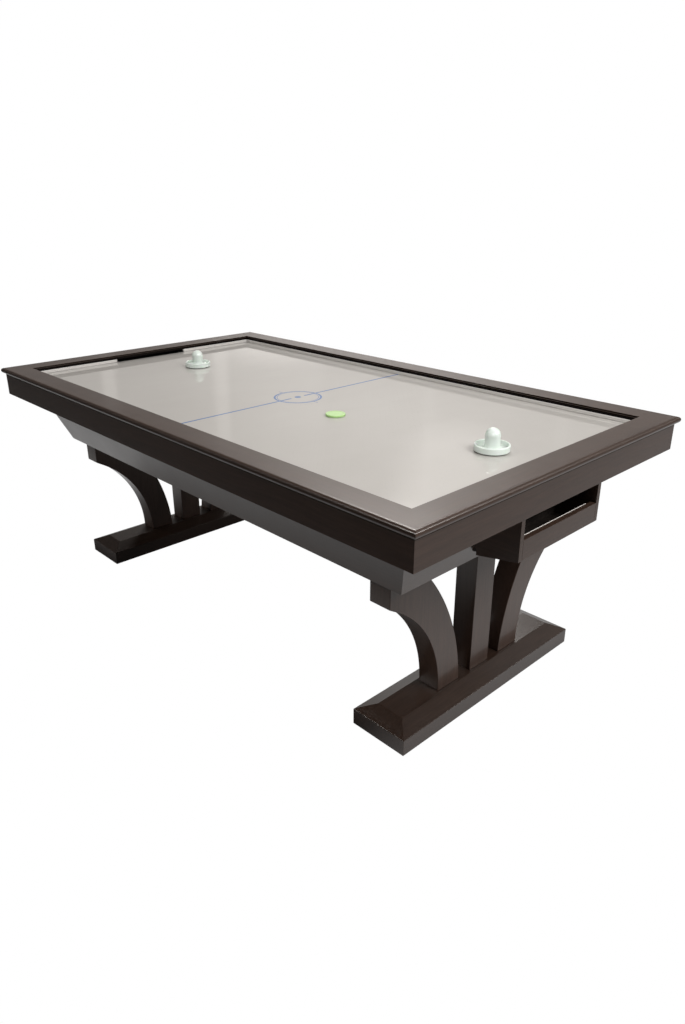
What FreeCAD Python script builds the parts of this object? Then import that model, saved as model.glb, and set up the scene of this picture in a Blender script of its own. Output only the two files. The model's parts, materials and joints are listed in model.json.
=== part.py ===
import FreeCAD, Part
import math
import os

import Sketcher

# Air hockey table: mitred rails and aprons on a tapered cabinet, two pedestals with curved legs,
# an air chamber fed by a centrifugal blower, goal boxes at both ends, two strikers and a puck.
# Frame: +X along the length to the right, +Y across to the back, +Z up, origin on the floor
# under the middle of the table. Lengths in millimetres, angles in degrees.

V = FreeCAD.Vector
doc = FreeCAD.newDocument("air_hockey_table")

# ---------------------------------------------------------------- driving dimensions
# alias, value, note
SIZES = [
    ("top_height", 813.0, "floor to the top of the rails"),
    ("half_long", 1091.3, "half length to the start of the rail's bullnose"),
    ("half_wide", 614.8, "half width to the start of the rail's bullnose"),
    ("rail_width", 80.4, "flat width of the rail's top"),
    ("nose_radius", 10.0, "bullnose radius"),
    ("nose_out", 2.0, "bullnose centre outside the flat top"),
    ("cove_radius", 7.0, "cove under the bullnose"),
    ("rail_under", 26.17, "top to the rail's underside over the apron"),
    ("inner_round", 2.0, "round on the rail's inner top edge"),
    ("ledge_drop", 5.6, "top to the ledge on the inner face"),
    ("ledge_out", 2.5, "how far the lower inner face stands in"),
    ("wood_drop", 16.3, "top to the top of the cushion strip"),
    ("cushion_proud", 2.0, "cushion strip in front of the wood"),
    ("cushion_thick", 10.0, "cushion strip thickness"),
    ("cushion_gap", 0.2, "gap above and below the cushion strip"),
    ("field_drop", 28.5, "top to the playing surface"),
    ("field_thick", 18.0, "playing surface board"),
    ("field_tuck", 24.0, "board under the rail, past the strip's face"),
    ("goal_half", 168.0, "half width of the goal mouth"),
    ("apron_inset", 1.0, "apron face inside the flat top's edge"),
    ("apron_thick", 20.0, "apron board"),
    ("apron_bottom", 707.4, "height of the apron's lower edge"),
    ("deck_thick", 18.0, "air chamber deck"),
    ("deck_gap", 0.5, "deck to apron"),
    ("cab_half_long", 990.0, "half length of the cabinet at its top"),
    ("cab_half_wide", 525.0, "half width of the cabinet at its top"),
    ("cab_low_long", 914.1, "half length of the cabinet at its bottom"),
    ("cab_low_wide", 449.1, "half width of the cabinet at its bottom"),
    ("cab_bottom", 521.6, "height of the cabinet's bottom"),
    ("cab_wall", 19.4, "cabinet board thickness, measured level"),
    ("box_front", 1083.0, "goal box front face from the middle"),
    ("box_half", 196.8, "half width of the goal box"),
    ("box_cheek", 16.3, "goal box cheek thickness"),
    ("box_sill", 643.8, "top of the goal box front board"),
    ("box_low", 585.0, "underside of the goal box at its front"),
    ("box_back_low", 561.0, "underside of the goal box at its back"),
    ("box_back", 952.0, "back end of the goal box's underside"),
    ("box_board", 18.0, "goal box front board"),
    ("box_floor", 9.0, "goal box floor board"),
    ("chute_wall", 1.5, "goal chute sheet"),
    ("chute_low", 702.0, "bottom of the goal chute"),
    ("ped_place", 817.0, "pedestal from the middle of the table"),
    ("ped_thick", 75.0, "thickness of legs and post"),
    ("foot_long", 199.0, "foot plank along the table"),
    ("foot_half", 422.0, "half length of the foot plank"),
    ("foot_edge", 51.0, "height of the foot's upright edge"),
    ("foot_high", 73.7, "height of the foot's flat top"),
    ("foot_hip", 53.0, "foot bevel along the table"),
    ("foot_hip_end", 50.0, "foot bevel at its ends"),
    ("plate_thick", 6.0, "pedestal mounting plate"),
    ("plate_half", 415.0, "half length of the mounting plate"),
    ("plate_wide", 65.0, "mounting plate width"),
    ("post_wide", 92.0, "centre post width"),
    ("leg_out", 424.0, "outer face of the leg's head"),
    ("leg_head", 441.0, "underside of the leg's head"),
    ("leg_step", 402.0, "start of the outer curve"),
    ("outer_cy", 608.0, "outer curve centre, across"),
    ("outer_cz", 77.3, "outer curve centre, height"),
    ("outer_rad", 406.6, "outer curve radius"),
    ("inner_cy", 799.6, "inner curve centre, across"),
    ("inner_cz", 32.6, "inner curve centre, height"),
    ("inner_rad", 698.5, "inner curve radius"),
    ("bolt_rad", 5.0, "bolt shank radius"),
    ("bolt_clear", 5.5, "bolt clearance hole radius"),
    ("bolt_near", 110.0, "inner bolts from the middle"),
    ("bolt_far", 215.0, "outer bolts from the middle"),
    ("insert_bore", 5.06, "threaded insert bore radius"),
    ("insert_rad", 6.9, "threaded insert barrel radius"),
    ("insert_seat", 7.0, "hole for the insert barrel, radius"),
    ("insert_flange", 12.0, "insert flange radius"),
    ("insert_long", 17.5, "insert barrel length"),
    ("leveler_place", 355.0, "leveller from the middle, across"),
    ("pocket_rad", 21.0, "leveller pocket radius"),
    ("pocket_deep", 10.5, "leveller pocket depth"),
    ("leveler_rad", 19.0, "leveller foot radius"),
    ("fan_rad", 60.0, "impeller radius"),
    ("fan_in", 46.0, "impeller blade inner radius"),
    ("fan_height", 622.0, "height of the blower's axis"),
    ("fan_half", 30.0, "half width of the blower housing"),
    ("scroll_rad", 72.0, "housing radius"),
    ("scroll_tongue", 18.0, "inner wall of the outlet from the axis"),
    ("scroll_wall", 2.0, "housing wall"),
    ("shaft_rad", 4.0, "motor shaft radius"),
    ("shaft_bore", 4.05, "motor bearing bore radius"),
    ("motor_rad", 40.0, "motor radius"),
    ("motor_long", 72.0, "motor length"),
    ("striker_rad", 51.6, "striker radius"),
    ("striker_rim", 20.5, "striker rim height"),
    ("knob_rad", 22.3, "striker knob radius"),
    ("striker_high", 67.5, "striker height"),
    ("felt_thick", 1.5, "felt pad"),
    ("glide_gap", 0.5, "gap under strikers and puck"),
    ("puck_rad", 32.8, "puck radius"),
    ("puck_thick", 6.4, "puck thickness"),
    ("puck_along", 269.0, "puck from the middle, along"),
    ("puck_across", -68.0, "puck from the middle, across"),
    ("striker_r_along", 844.0, "right striker from the middle, along"),
    ("striker_r_across", -3.0, "right striker from the middle, across"),
    ("striker_l_along", -690.0, "left striker from the middle, along"),
    ("striker_l_across", 36.0, "left striker from the middle, across"),
    ("air_pitch", 76.2, "air hole spacing"),
    ("air_rad", 0.8, "air hole radius"),
]


class Size:
    """A size: its number now, and the spreadsheet formula that gives it."""

    def __init__(self, value, formula):
        self.value = float(value)
        self.formula = formula

    @staticmethod
    def of(number):
        return number if isinstance(number, Size) else Size(number, "%.6f" % number)

    def joined(self, sign, other, value):
        return Size(value, "(%s %s %s)" % (self.formula, sign, other.formula))

    def __add__(self, other):
        other = Size.of(other)
        return self.joined("+", other, self.value + other.value)

    def __sub__(self, other):
        other = Size.of(other)
        return self.joined("-", other, self.value - other.value)

    def __mul__(self, other):
        other = Size.of(other)
        return self.joined("*", other, self.value * other.value)

    def __rmul__(self, other):
        return Size.of(other) * self

    def __truediv__(self, other):
        other = Size.of(other)
        return self.joined("/", other, self.value / other.value)

    def __neg__(self):
        return Size(-self.value, "(0 - %s)" % self.formula)

    def root(self):
        return Size(math.sqrt(self.value), "sqrt(%s)" % self.formula)


class Dimensions:
    """Holds each row of the sheet as a Size, under its alias."""


dim = Dimensions()
sheet = doc.addObject("Spreadsheet::Sheet", "Dims")
for row, (alias, number, note) in enumerate(SIZES, start=1):
    sheet.set("A%d" % row, note)
    sheet.set("B%d" % row, repr(number))
    sheet.setAlias("B%d" % row, alias)
    setattr(dim, alias, Size(number, "Dims.%s" % alias))
doc.recompute()

pieces = []  # the objects that are written out


# ---------------------------------------------------------------- objects and places
def new_body(label):
    body = doc.addObject("PartDesign::Body", label)
    body.Label = label
    pieces.append(body)
    return body


def bind(obj, prop, size):
    """Sets a length property now and ties it to the sheet."""
    size = Size.of(size)
    setattr(obj, prop, size.value)
    obj.setExpression(prop, size.formula)


def place(obj, x, y, z, rotation=FreeCAD.Rotation()):
    spot = [Size.of(value) for value in (x, y, z)]
    obj.Placement = FreeCAD.Placement(V(*[size.value for size in spot]), rotation)
    for axis, size in zip("xyz", spot):
        obj.setExpression("Placement.Base.%s" % axis, size.formula)


def turn(obj, degrees):
    """Turns a piece about the table's vertical axis."""
    obj.Placement = FreeCAD.Placement(V(0, 0, 0), FreeCAD.Rotation(V(0, 0, 1), degrees))


# ---------------------------------------------------------------- sketches
def origin_feature(body, role):
    return next(f for f in body.Origin.OriginFeatures if f.Role == role)


def new_sketch(body, plane, name, lift=0.0):
    """A sketch on the body's XY, XZ or YZ plane, lifted along its normal (+Z, -Y or +X)."""
    sketch = body.newObject("Sketcher::SketchObject", name)
    sketch.AttachmentSupport = [(origin_feature(body, plane + "_Plane"), "")]
    sketch.MapMode = "FlatFace"
    lift = Size.of(lift)
    sketch.AttachmentOffset = FreeCAD.Placement(V(0, 0, lift.value), FreeCAD.Rotation())
    sketch.setExpression("AttachmentOffset.Base.z", lift.formula)
    return sketch


def flat(x, y):
    return V(Size.of(x).value, Size.of(y).value, 0)


def pin(sketch, geo, pos, x, y):
    """Fixes one point of the sketch at x, y, both driven by the sheet."""
    for size, kind, axis in ((x, "DistanceX", -2), (y, "DistanceY", -1)):
        size = Size.of(size)
        if abs(size.value) < 1e-9:
            sketch.addConstraint(Sketcher.Constraint("PointOnObject", geo, pos, axis))
        else:
            index = sketch.addConstraint(
                Sketcher.Constraint(kind, -1, 1, geo, pos, size.value)
            )
            sketch.setExpression("Constraints[%d]" % index, size.formula)


def fix_radius(sketch, geo, radius):
    index = sketch.addConstraint(Sketcher.Constraint("Radius", geo, radius.value))
    sketch.setExpression("Constraints[%d]" % index, radius.formula)


def outline(sketch, points):
    """A closed outline of (x, y) points. A point (x, y, mid_x, mid_y, radius) starts an arc
    that runs to the next point by way of the middle point."""
    ids = []  # geometry, its start and its end
    following = points[1:] + points[:1]
    for point, after in zip(points, following):
        start, end = flat(*point[:2]), flat(*after[:2])
        if len(point) > 2:
            geo = sketch.addGeometry(Part.Arc(start, flat(*point[2:4]), end), False)
            # a clockwise arc is stored with its ends swapped
            first = 1 if sketch.getPoint(geo, 1).distanceToPoint(start) < 1e-4 else 2
        else:
            geo = sketch.addGeometry(Part.LineSegment(start, end), False)
            first = 1
        ids.append((geo, first, 3 - first))
    for (geo, _, last), (next_geo, next_first, _) in zip(ids, ids[1:] + ids[:1]):
        sketch.addConstraint(
            Sketcher.Constraint("Coincident", geo, last, next_geo, next_first)
        )
    for point, (geo, first, _) in zip(points, ids):
        pin(sketch, geo, first, point[0], point[1])
        if len(point) > 2:
            fix_radius(sketch, geo, Size.of(point[4]))


def corners(x0, x1, y0, y1):
    return [(x0, y0), (x1, y0), (x1, y1), (x0, y1)]


def rectangle(sketch, x0, x1, y0, y1):
    outline(sketch, corners(x0, x1, y0, y1))


def centred(sketch, x, y, half_x, half_y):
    """A rectangle about x, y."""
    x, y = Size.of(x), Size.of(y)
    rectangle(sketch, x - half_x, x + half_x, y - half_y, y + half_y)


def circle(sketch, x, y, radius):
    radius = Size.of(radius)
    geo = sketch.addGeometry(Part.Circle(flat(x, y), V(0, 0, 1), radius.value), False)
    pin(sketch, geo, 3, x, y)
    fix_radius(sketch, geo, radius)


# ---------------------------------------------------------------- solid features
def extrude(body, kind, sketch, length, middle, back):
    feature = body.newObject("PartDesign::" + kind, kind)
    feature.Profile = sketch
    bind(feature, "Length", length)
    feature.Midplane = middle
    feature.Reversed = back
    body.Tip = feature


def pad(body, sketch, length, middle=False, back=False):
    """Adds along the sketch's normal, or against it with back."""
    extrude(body, "Pad", sketch, length, middle, back)


def pocket(body, sketch, length, middle=False, back=False):
    """Cuts against the sketch's normal, or along it with back; something must be cut."""
    doc.recompute()
    before = body.Shape.Volume
    extrude(body, "Pocket", sketch, length, middle, back)
    doc.recompute()
    if not body.Shape.Volume < before - 1e-3:
        raise RuntimeError("a pocket in %s cuts nothing" % body.Label)


def revolve(body, plane, name, points):
    """Turns an outline about its sketch's vertical axis: Z on XZ, Y on XY."""
    sketch = new_sketch(body, plane, name)
    outline(sketch, points)
    feature = body.newObject("PartDesign::Revolution", "Turned")
    feature.Profile = sketch
    feature.ReferenceAxis = (sketch, ["V_Axis"])
    feature.Angle = 360
    body.Tip = feature


def turned_piece(label, plane, points, x, y, z):
    body = new_body(label)
    revolve(body, plane, "Half", points)
    place(body, x, y, z)


# ---------------------------------------------------------------- plain solids
def box(name, x0, x1, y0, y1, z0, z1):
    solid = doc.addObject("Part::Box", name)
    for prop, low, high in (("Length", x0, x1), ("Width", y0, y1), ("Height", z0, z1)):
        bind(solid, prop, Size.of(high) - low)
    place(solid, x0, y0, z0)
    return solid


def cylinder(name, x, y, z0, z1, radius):
    """An upright cylinder between two heights, given in either order."""
    solid = doc.addObject("Part::Cylinder", name)
    low, high = sorted((z0, z1), key=lambda size: size.value)
    bind(solid, "Radius", radius)
    bind(solid, "Height", high - low)
    place(solid, x, y, low)
    return solid


def cut(name, base, tool):
    result = doc.addObject("Part::Cut", name)
    result.Base, result.Tool = base, tool
    return result


def fuse(name, parts):
    result = doc.addObject("Part::MultiFuse", name)
    result.Shapes = parts
    return result


def group(label, parts):
    """One piece made of several separate solids."""
    compound = doc.addObject("Part::Compound", label)
    compound.Links = parts
    compound.Label = label
    pieces.append(compound)


# ---------------------------------------------------------------- shared places
ENDS = (("right", 0), ("left", 180))  # pieces drawn at +X, and turned round for the left
BOTTOM_THICK = 18.0  # cabinet bottom board
INSERT_FLANGE_THICK = 2.0

half_long, half_wide = dim.half_long, dim.half_wide
top = dim.top_height
field_top = top - dim.field_drop
field_low = field_top - dim.field_thick
apron_top = top - dim.rail_under
apron_low = dim.apron_bottom
deck_low = apron_low
deck_top = deck_low + dim.deck_thick
cab_low = dim.cab_bottom
cab_floor = cab_low + BOTTOM_THICK
plate_low = cab_low - dim.plate_thick
strip_face = dim.rail_width + dim.ledge_out + dim.cushion_proud
strip_back = strip_face - dim.cushion_thick
field_half_long = half_long - strip_face  # half the play length, between cushion faces
field_half_wide = half_wide - strip_face
apron_depth = dim.apron_inset + dim.apron_thick
apron_in_long = half_long - apron_depth  # inner faces of the aprons
apron_in_wide = half_wide - apron_depth
bolt_spots = [
    (end * dim.ped_place, side * distance)
    for end in (-1, 1)
    for side in (-1, 1)
    for distance in (dim.bolt_near, dim.bolt_far)
]


def half_chord(radius, offset):
    """Half the chord of a circle, at an offset from its centre."""
    return (radius * radius - offset * offset).root()


# ---------------------------------------------------------------- mitred frames
MITRE_DEPTH = 2000.0  # more than the table's height, each way together
# band the mitre cutters cover across each board (from, to), and how far out they reach
SIDE_BAND, SIDE_REACH = (Size.of(380.0), Size.of(720.0)), Size.of(1250.0)
END_BAND, END_REACH = (Size.of(820.0), Size.of(1180.0)), Size.of(720.0)


def side_waste(offset, end):
    """Cutter for one end of the front board, beyond the line |x| = |y| + offset."""
    near, far = SIDE_BAND
    return [
        (end * (near + offset), -near),
        (end * (far + offset), -far),
        (end * SIDE_REACH, -far),
        (end * SIDE_REACH, -near),
    ]


def end_waste(offset, end):
    """Cutter for one end of the right board, beyond the same line."""
    near, far = END_BAND
    return [
        (near, end * (near - offset)),
        (far, end * (far - offset)),
        (far, end * END_REACH),
        (near, end * END_REACH),
    ]


def mitred_frame(stems, side_section, end_section, long, wide, spare):
    """Front, back, right and left boards, mitred at 45 degrees. The sections are drawn for
    the front and the right board; spare is the extra length the mitres cut away."""
    boards = []
    for stem, names, plane, section, half, waste in (
        (stems[0], ("front", "back"), "YZ", side_section, long, side_waste),
        (stems[1], ("right", "left"), "XZ", end_section, wide, end_waste),
    ):
        for name, degrees in zip(names, (0, 180)):
            body = new_body("%s_%s" % (stem, name))
            sketch = new_sketch(body, plane, "Section")
            outline(sketch, section)
            pad(body, sketch, 2 * half + spare, middle=True)
            sketch = new_sketch(body, "XY", "Mitre")
            for end in (1, -1):
                outline(sketch, waste(long - wide, end))
            pocket(body, sketch, MITRE_DEPTH, middle=True)
            turn(body, degrees)
            boards.append(body)
    return boards


# ---------------------------------------------------------------- rails and aprons
FRAME_SPARE = 80.0
RAIL_LAP = 1.0  # rail's thick part starts this far inside the apron
NOSE_JOIN = 0.4  # bullnose to cove, as a share of the nose radius outside its centre
NOSE_MID = 0.83  # a point on the lower part of the bullnose, in the same measure
DIAGONAL = math.sqrt(0.5)
MOUTH_BELOW = 4.0  # mouth cutter below the playing surface
MOUTH_DEPTH = 80.0


def rail_section(edge, side):
    """Rail section; side is -1 for the front rail and 1 for the right one."""

    def out(distance):
        """Distance outward from the flat top's edge."""
        return side * (edge + distance)

    nose, nose_out, cove = dim.nose_radius, dim.nose_out, dim.cove_radius
    inset, width, inner = dim.apron_inset, dim.rail_width, dim.inner_round
    nose_low = nose + nose * math.sqrt(1 - NOSE_JOIN**2)
    nose_mid_low = nose + nose * math.sqrt(1 - NOSE_MID**2)
    lap = -apron_depth - RAIL_LAP
    wood = -width - dim.ledge_out
    return [
        (out(nose_out), top, out(nose_out + nose * DIAGONAL), top - nose * (1 - DIAGONAL), nose),
        (out(nose_out + nose), top - nose,
         out(nose_out + nose * NOSE_MID), top - nose_mid_low, nose),
        (out(nose_out + nose * NOSE_JOIN), top - nose_low,
         out(cove - inset - cove * DIAGONAL), apron_top + cove * DIAGONAL, cove),
        (out(-inset), apron_top),
        (out(lap), apron_top),
        (out(lap), field_top),
        (out(-strip_back), field_top),
        (out(-strip_back), top - dim.wood_drop),
        (out(wood), top - dim.wood_drop),
        (out(wood), top - dim.ledge_drop),
        (out(-width), top - dim.ledge_drop),
        (out(-width), top - inner,
         out(-width + inner * (1 - DIAGONAL)), top - inner * (1 - DIAGONAL), inner),
        (out(-width + inner), top),
    ]


def apron_section(edge, side):
    face = edge - dim.apron_inset
    return corners(side * face, side * (face - dim.apron_thick), apron_low, apron_top)


rails = mitred_frame(
    ("side_rail", "end_rail"),
    rail_section(half_wide, -1), rail_section(half_long, 1),
    half_long, half_wide, FRAME_SPARE,
)
for body in rails[2:]:
    # goal mouth: a slot under the end rail, open to the chute behind it
    sketch = new_sketch(body, "YZ", "Mouth", apron_in_long)
    rectangle(
        sketch, -dim.goal_half, dim.goal_half, field_top - MOUTH_BELOW, top - dim.wood_drop
    )
    pocket(body, sketch, MOUTH_DEPTH)

mitred_frame(
    ("side_apron", "end_apron"),
    apron_section(half_wide, -1), apron_section(half_long, 1),
    half_long, half_wide, FRAME_SPARE,
)

# ---------------------------------------------------------------- cushion strips
STRIP_BEVEL_LOW, STRIP_BEVEL_HIGH = 1.0, 1.5
# groove along the strip's face: (depth, height from the strip's middle)
STRIP_GROOVE = ((0.0, -1.6), (0.9, -0.9), (0.9, -0.1), (0.0, 0.6))


def strip_section(edge, side):
    low = field_top + dim.cushion_gap
    high = top - dim.wood_drop - dim.cushion_gap
    middle = (low + high) / 2

    def out(distance):
        return side * (edge + distance)

    return [
        (out(-strip_back), low),
        (out(-strip_face + STRIP_BEVEL_LOW), low),
        (out(-strip_face), low + STRIP_BEVEL_LOW),
        *[(out(-strip_face + depth), middle + rise) for depth, rise in STRIP_GROOVE],
        (out(-strip_face), high - STRIP_BEVEL_HIGH),
        (out(-strip_face + STRIP_BEVEL_HIGH), high),
        (out(-strip_back), high),
    ]


for name, degrees in (("front", 0), ("back", 180)):
    body = new_body("cushion_" + name)
    sketch = new_sketch(body, "YZ", "Section")
    outline(sketch, strip_section(half_wide, -1))
    pad(body, sketch, 2 * (half_long - strip_back), middle=True)
    turn(body, degrees)

# short strips, one each side of the goal mouth; side is before the piece is turned
for name, degrees, side in (
    ("right_front", 0, -1),
    ("right_back", 0, 1),
    ("left_back", 180, -1),
    ("left_front", 180, 1),
):
    body = new_body("cushion_" + name)
    sketch = new_sketch(body, "XZ", "Section", -side * field_half_wide)
    outline(sketch, strip_section(half_long, 1))
    pad(body, sketch, field_half_wide - dim.goal_half, back=side < 0)
    turn(body, degrees)

# ---------------------------------------------------------------- playing surface and deck
NOTCH_BACK = 1.0  # goal notch behind the cushion's face
NOTCH_SIDE = 7.0  # goal notch beyond the mouth, each side
AIR_MARGIN = 45.0  # least distance from the board's edge to an air hole


def notched_board(half_x, half_y):
    """Corners of a board with a notch for the goal chute in each end."""
    notch_x = field_half_long + NOTCH_BACK
    notch_y = dim.goal_half + NOTCH_SIDE
    return [
        (-half_x, -half_y), (half_x, -half_y), (half_x, -notch_y),
        (notch_x, -notch_y), (notch_x, notch_y), (half_x, notch_y),
        (half_x, half_y), (-half_x, half_y), (-half_x, notch_y),
        (-notch_x, notch_y), (-notch_x, -notch_y), (-half_x, -notch_y),
    ]


def playfield():
    """Board with its air holes, made as one face with hole wires and extruded."""
    height = field_top.value
    half_x = field_half_long + dim.field_tuck
    half_y = field_half_wide + dim.field_tuck
    edge = [V(x.value, y.value, height) for x, y in notched_board(half_x, half_y)]
    wires = [Part.makePolygon(edge + edge[:1])]
    pitch = dim.air_pitch.value
    columns = int((half_x.value - AIR_MARGIN) // pitch)
    rows = int((half_y.value - AIR_MARGIN) // pitch)
    for i in range(-columns, columns + 1):
        for j in range(-rows, rows + 1):
            hole = Part.Wire(Part.makeCircle(dim.air_rad.value, V(i * pitch, j * pitch, height)))
            hole.reverse()
            wires.append(hole)
    board = doc.addObject("Part::Feature", "playfield")
    board.Label = "playfield"
    board.Shape = Part.Face(wires).extrude(V(0, 0, -dim.field_thick.value))
    pieces.append(board)


def plenum_deck():
    body = new_body("plenum_deck")
    sketch = new_sketch(body, "XY", "Deck", deck_low)
    outline(sketch, notched_board(apron_in_long - dim.deck_gap, apron_in_wide - dim.deck_gap))
    pad(body, sketch, dim.deck_thick)
    # opening over the inside of the blower's outlet
    sketch = new_sketch(body, "XY", "AirInlet", deck_low)
    wall = dim.scroll_wall
    half = dim.fan_half - wall
    rectangle(sketch, dim.scroll_tongue + wall, dim.scroll_rad - wall, -half, half)
    pocket(body, sketch, dim.deck_thick, back=True)


playfield()
plenum_deck()

# ---------------------------------------------------------------- air chamber walls and joists
CHAMBER_WALL = 18.0
CHAMBER_IN = 3.0  # end walls inside the cushion faces
CHAMBER_OUT = 10.0  # long walls outside the cushion faces
JOIST_HALF = 9.0
JOIST_PLACES = (-760.0, -490.0, -220.0, 200.0, 470.0, 740.0)  # along X
JOIST_HOLE_RAD = 12.0
JOIST_HOLE_PITCH = 140.0
JOIST_HOLE_LONG = 30.0

out_x = field_half_long - CHAMBER_IN
out_y = field_half_wide + CHAMBER_OUT
in_x = out_x - CHAMBER_WALL
in_y = out_y - CHAMBER_WALL
group(
    "plenum_walls",
    [
        box("Wall" + name, *span, deck_top, field_low)
        for name, span in (
            ("Front", (-out_x, out_x, -out_y, -in_y)),
            ("Back", (-out_x, out_x, in_y, out_y)),
            ("Right", (in_x, out_x, -in_y, in_y)),
            ("Left", (-out_x, -in_x, -in_y, in_y)),
        )
    ],
)


def joist(number, x):
    """A plank across the chamber with a row of seven air holes."""
    plank = box(
        "JoistPlank%d" % number,
        x - JOIST_HALF, x + JOIST_HALF, -in_y, in_y, deck_top, field_low,
    )
    along_x = FreeCAD.Rotation(V(0, 1, 0), 90)
    holes = []
    for step in range(-3, 4):
        hole = doc.addObject("Part::Cylinder", "JoistHole%d_%d" % (number, step + 3))
        hole.Radius, hole.Height = JOIST_HOLE_RAD, JOIST_HOLE_LONG
        place(
            hole, x - JOIST_HOLE_LONG / 2, step * JOIST_HOLE_PITCH,
            (deck_top + field_low) / 2, along_x,
        )
        holes.append(hole)
    return cut("Joist%d" % number, plank, fuse("JoistHoles%d" % number, holes))


group("plenum_joists", [joist(number, x) for number, x in enumerate(JOIST_PLACES)])

# ---------------------------------------------------------------- tapered cabinet
CABINET_SPARE = 60.0
BOTTOM_GAP = 0.3  # bottom board to the cabinet's walls
INTAKE_Y = 150.0  # grille centre, on the table's middle line
INTAKE_HALF = 65.0
SWITCH_X, SWITCH_Y = 260.0, 330.0
SWITCH_HOLE = (14.0, 11.0)  # half sizes along X and Y
INLET_X, INLET_Y = 340.0, 330.0
INLET_HOLE = (14.2, 12.2)


def cabinet_section(high_edge, low_edge, side):
    return [
        (side * high_edge, apron_low),
        (side * low_edge, cab_low),
        (side * (low_edge - dim.cab_wall), cab_low),
        (side * (high_edge - dim.cab_wall), apron_low),
    ]


def cabinet_bottom():
    body = new_body("cabinet_bottom")
    sketch = new_sketch(body, "XY", "Board", cab_low)
    inside = dim.cab_wall + BOTTOM_GAP
    centred(sketch, 0.0, 0.0, dim.cab_low_long - inside, dim.cab_low_wide - inside)
    pad(body, sketch, BOTTOM_THICK)
    sketch = new_sketch(body, "XY", "InsertHoles", cab_low)
    for x, y in bolt_spots:
        circle(sketch, x, y, dim.insert_seat)
    pocket(body, sketch, BOTTOM_THICK, back=True)
    sketch = new_sketch(body, "XY", "Openings", cab_low)
    centred(sketch, 0.0, INTAKE_Y, INTAKE_HALF, INTAKE_HALF)
    centred(sketch, SWITCH_X, SWITCH_Y, *SWITCH_HOLE)
    centred(sketch, INLET_X, INLET_Y, *INLET_HOLE)
    pocket(body, sketch, BOTTOM_THICK, back=True)


mitred_frame(
    ("cabinet_side", "cabinet_end"),
    cabinet_section(dim.cab_half_wide, dim.cab_low_wide, -1),
    cabinet_section(dim.cab_half_long, dim.cab_low_long, 1),
    dim.cab_half_long, dim.cab_half_wide, CABINET_SPARE,
)
cabinet_bottom()

# ---------------------------------------------------------------- goal boxes and chutes
WALL_GAP = 0.2  # cheeks to the cabinet's end
BOARD_GAP = 0.2  # front and floor boards between the cheeks, both sides together
TIP_RISE = 18.0  # cheek's back edge, above the underside's back end
TIP_WALL_RISE = 24.0  # where the cheek meets the cabinet's end, above the same
FRONT_EASE = 1.5  # round on the front board's back top edge
FLOOR_RISE = 3.0  # floor board above the cheeks' underside
FLOOR_FRONT_GAP = 0.1
FLOOR_WALL_GAP = 0.2  # floor board to the cheeks' line on the cabinet's end
LIP_IN = 4.0  # lip's back face from the back end of the underside
LIP_RISE = 34.0  # lip's top above the back end of the underside
CHUTE_BACK = 1.4  # chute behind the cushion's face
CHUTE_SIDE = 6.5  # chute beyond the goal mouth, each side
CHUTE_GAP = 0.8  # chute to the apron, and to the playing surface's height

box_in = dim.box_half - dim.box_cheek
board_long = 2 * box_in - BOARD_GAP
end_slope = (dim.cab_half_long - dim.cab_low_long) / (apron_low - cab_low)
floor_slope = (dim.box_low - dim.box_back_low) / (dim.box_front - dim.box_back)


def wall_at(z):
    """Outer face of the cabinet's end at height z, with a hair of clearance."""
    return dim.cab_low_long + end_slope * (z - cab_low) + WALL_GAP


def floor_at(x):
    """Underside of the floor board at x."""
    return dim.box_back_low + floor_slope * (x - dim.box_back) + FLOOR_RISE


def goal_cheeks(end, degrees):
    cheeks = []
    wall_z = dim.box_back_low + TIP_WALL_RISE
    for number, side in enumerate((-1, 1)):
        body = doc.addObject("PartDesign::Body", "CheekBody_%s_%d" % (end, number))
        sketch = new_sketch(body, "XZ", "Cheek", -side * box_in)
        outline(
            sketch,
            [
                (dim.box_front, apron_low),
                (dim.box_front, dim.box_low),
                (dim.box_back, dim.box_back_low),
                (dim.box_back, dim.box_back_low + TIP_RISE),
                (wall_at(wall_z), wall_z),
                (wall_at(apron_low), apron_low),
            ],
        )
        pad(body, sketch, dim.box_cheek, back=side > 0)
        turn(body, degrees)
        cheeks.append(body)
    group("goal_cheeks_" + end, cheeks)


def back_top_edges(shape):
    """Names of the long edges along the front board's back top corner."""
    back_x = dim.box_front.value - dim.box_board.value
    sill = dim.box_sill.value
    names = []
    for number, edge in enumerate(shape.Edges, start=1):
        a, b = edge.Vertexes[0].Point, edge.Vertexes[-1].Point
        level = max(abs(a.z - sill), abs(b.z - sill)) < 0.01
        if level and abs(a.x - back_x) < 0.01 and abs(a.y - b.y) > 100:
            names.append("Edge%d" % number)
    return names


def goal_front(end, degrees):
    body = new_body("goal_front_" + end)
    sketch = new_sketch(body, "XZ", "Board")
    front = dim.box_front
    rectangle(sketch, front - dim.box_board, front, dim.box_low, dim.box_sill)
    pad(body, sketch, board_long, middle=True)
    doc.recompute()
    edges = back_top_edges(body.Shape)
    if len(edges) != 1:
        raise RuntimeError("the front board's back edge wasn't found")
    base = body.Tip
    ease = body.newObject("PartDesign::Fillet", "Eased")
    ease.Base = (base, edges)
    ease.Radius = FRONT_EASE
    body.Tip = ease
    turn(body, degrees)


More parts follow.
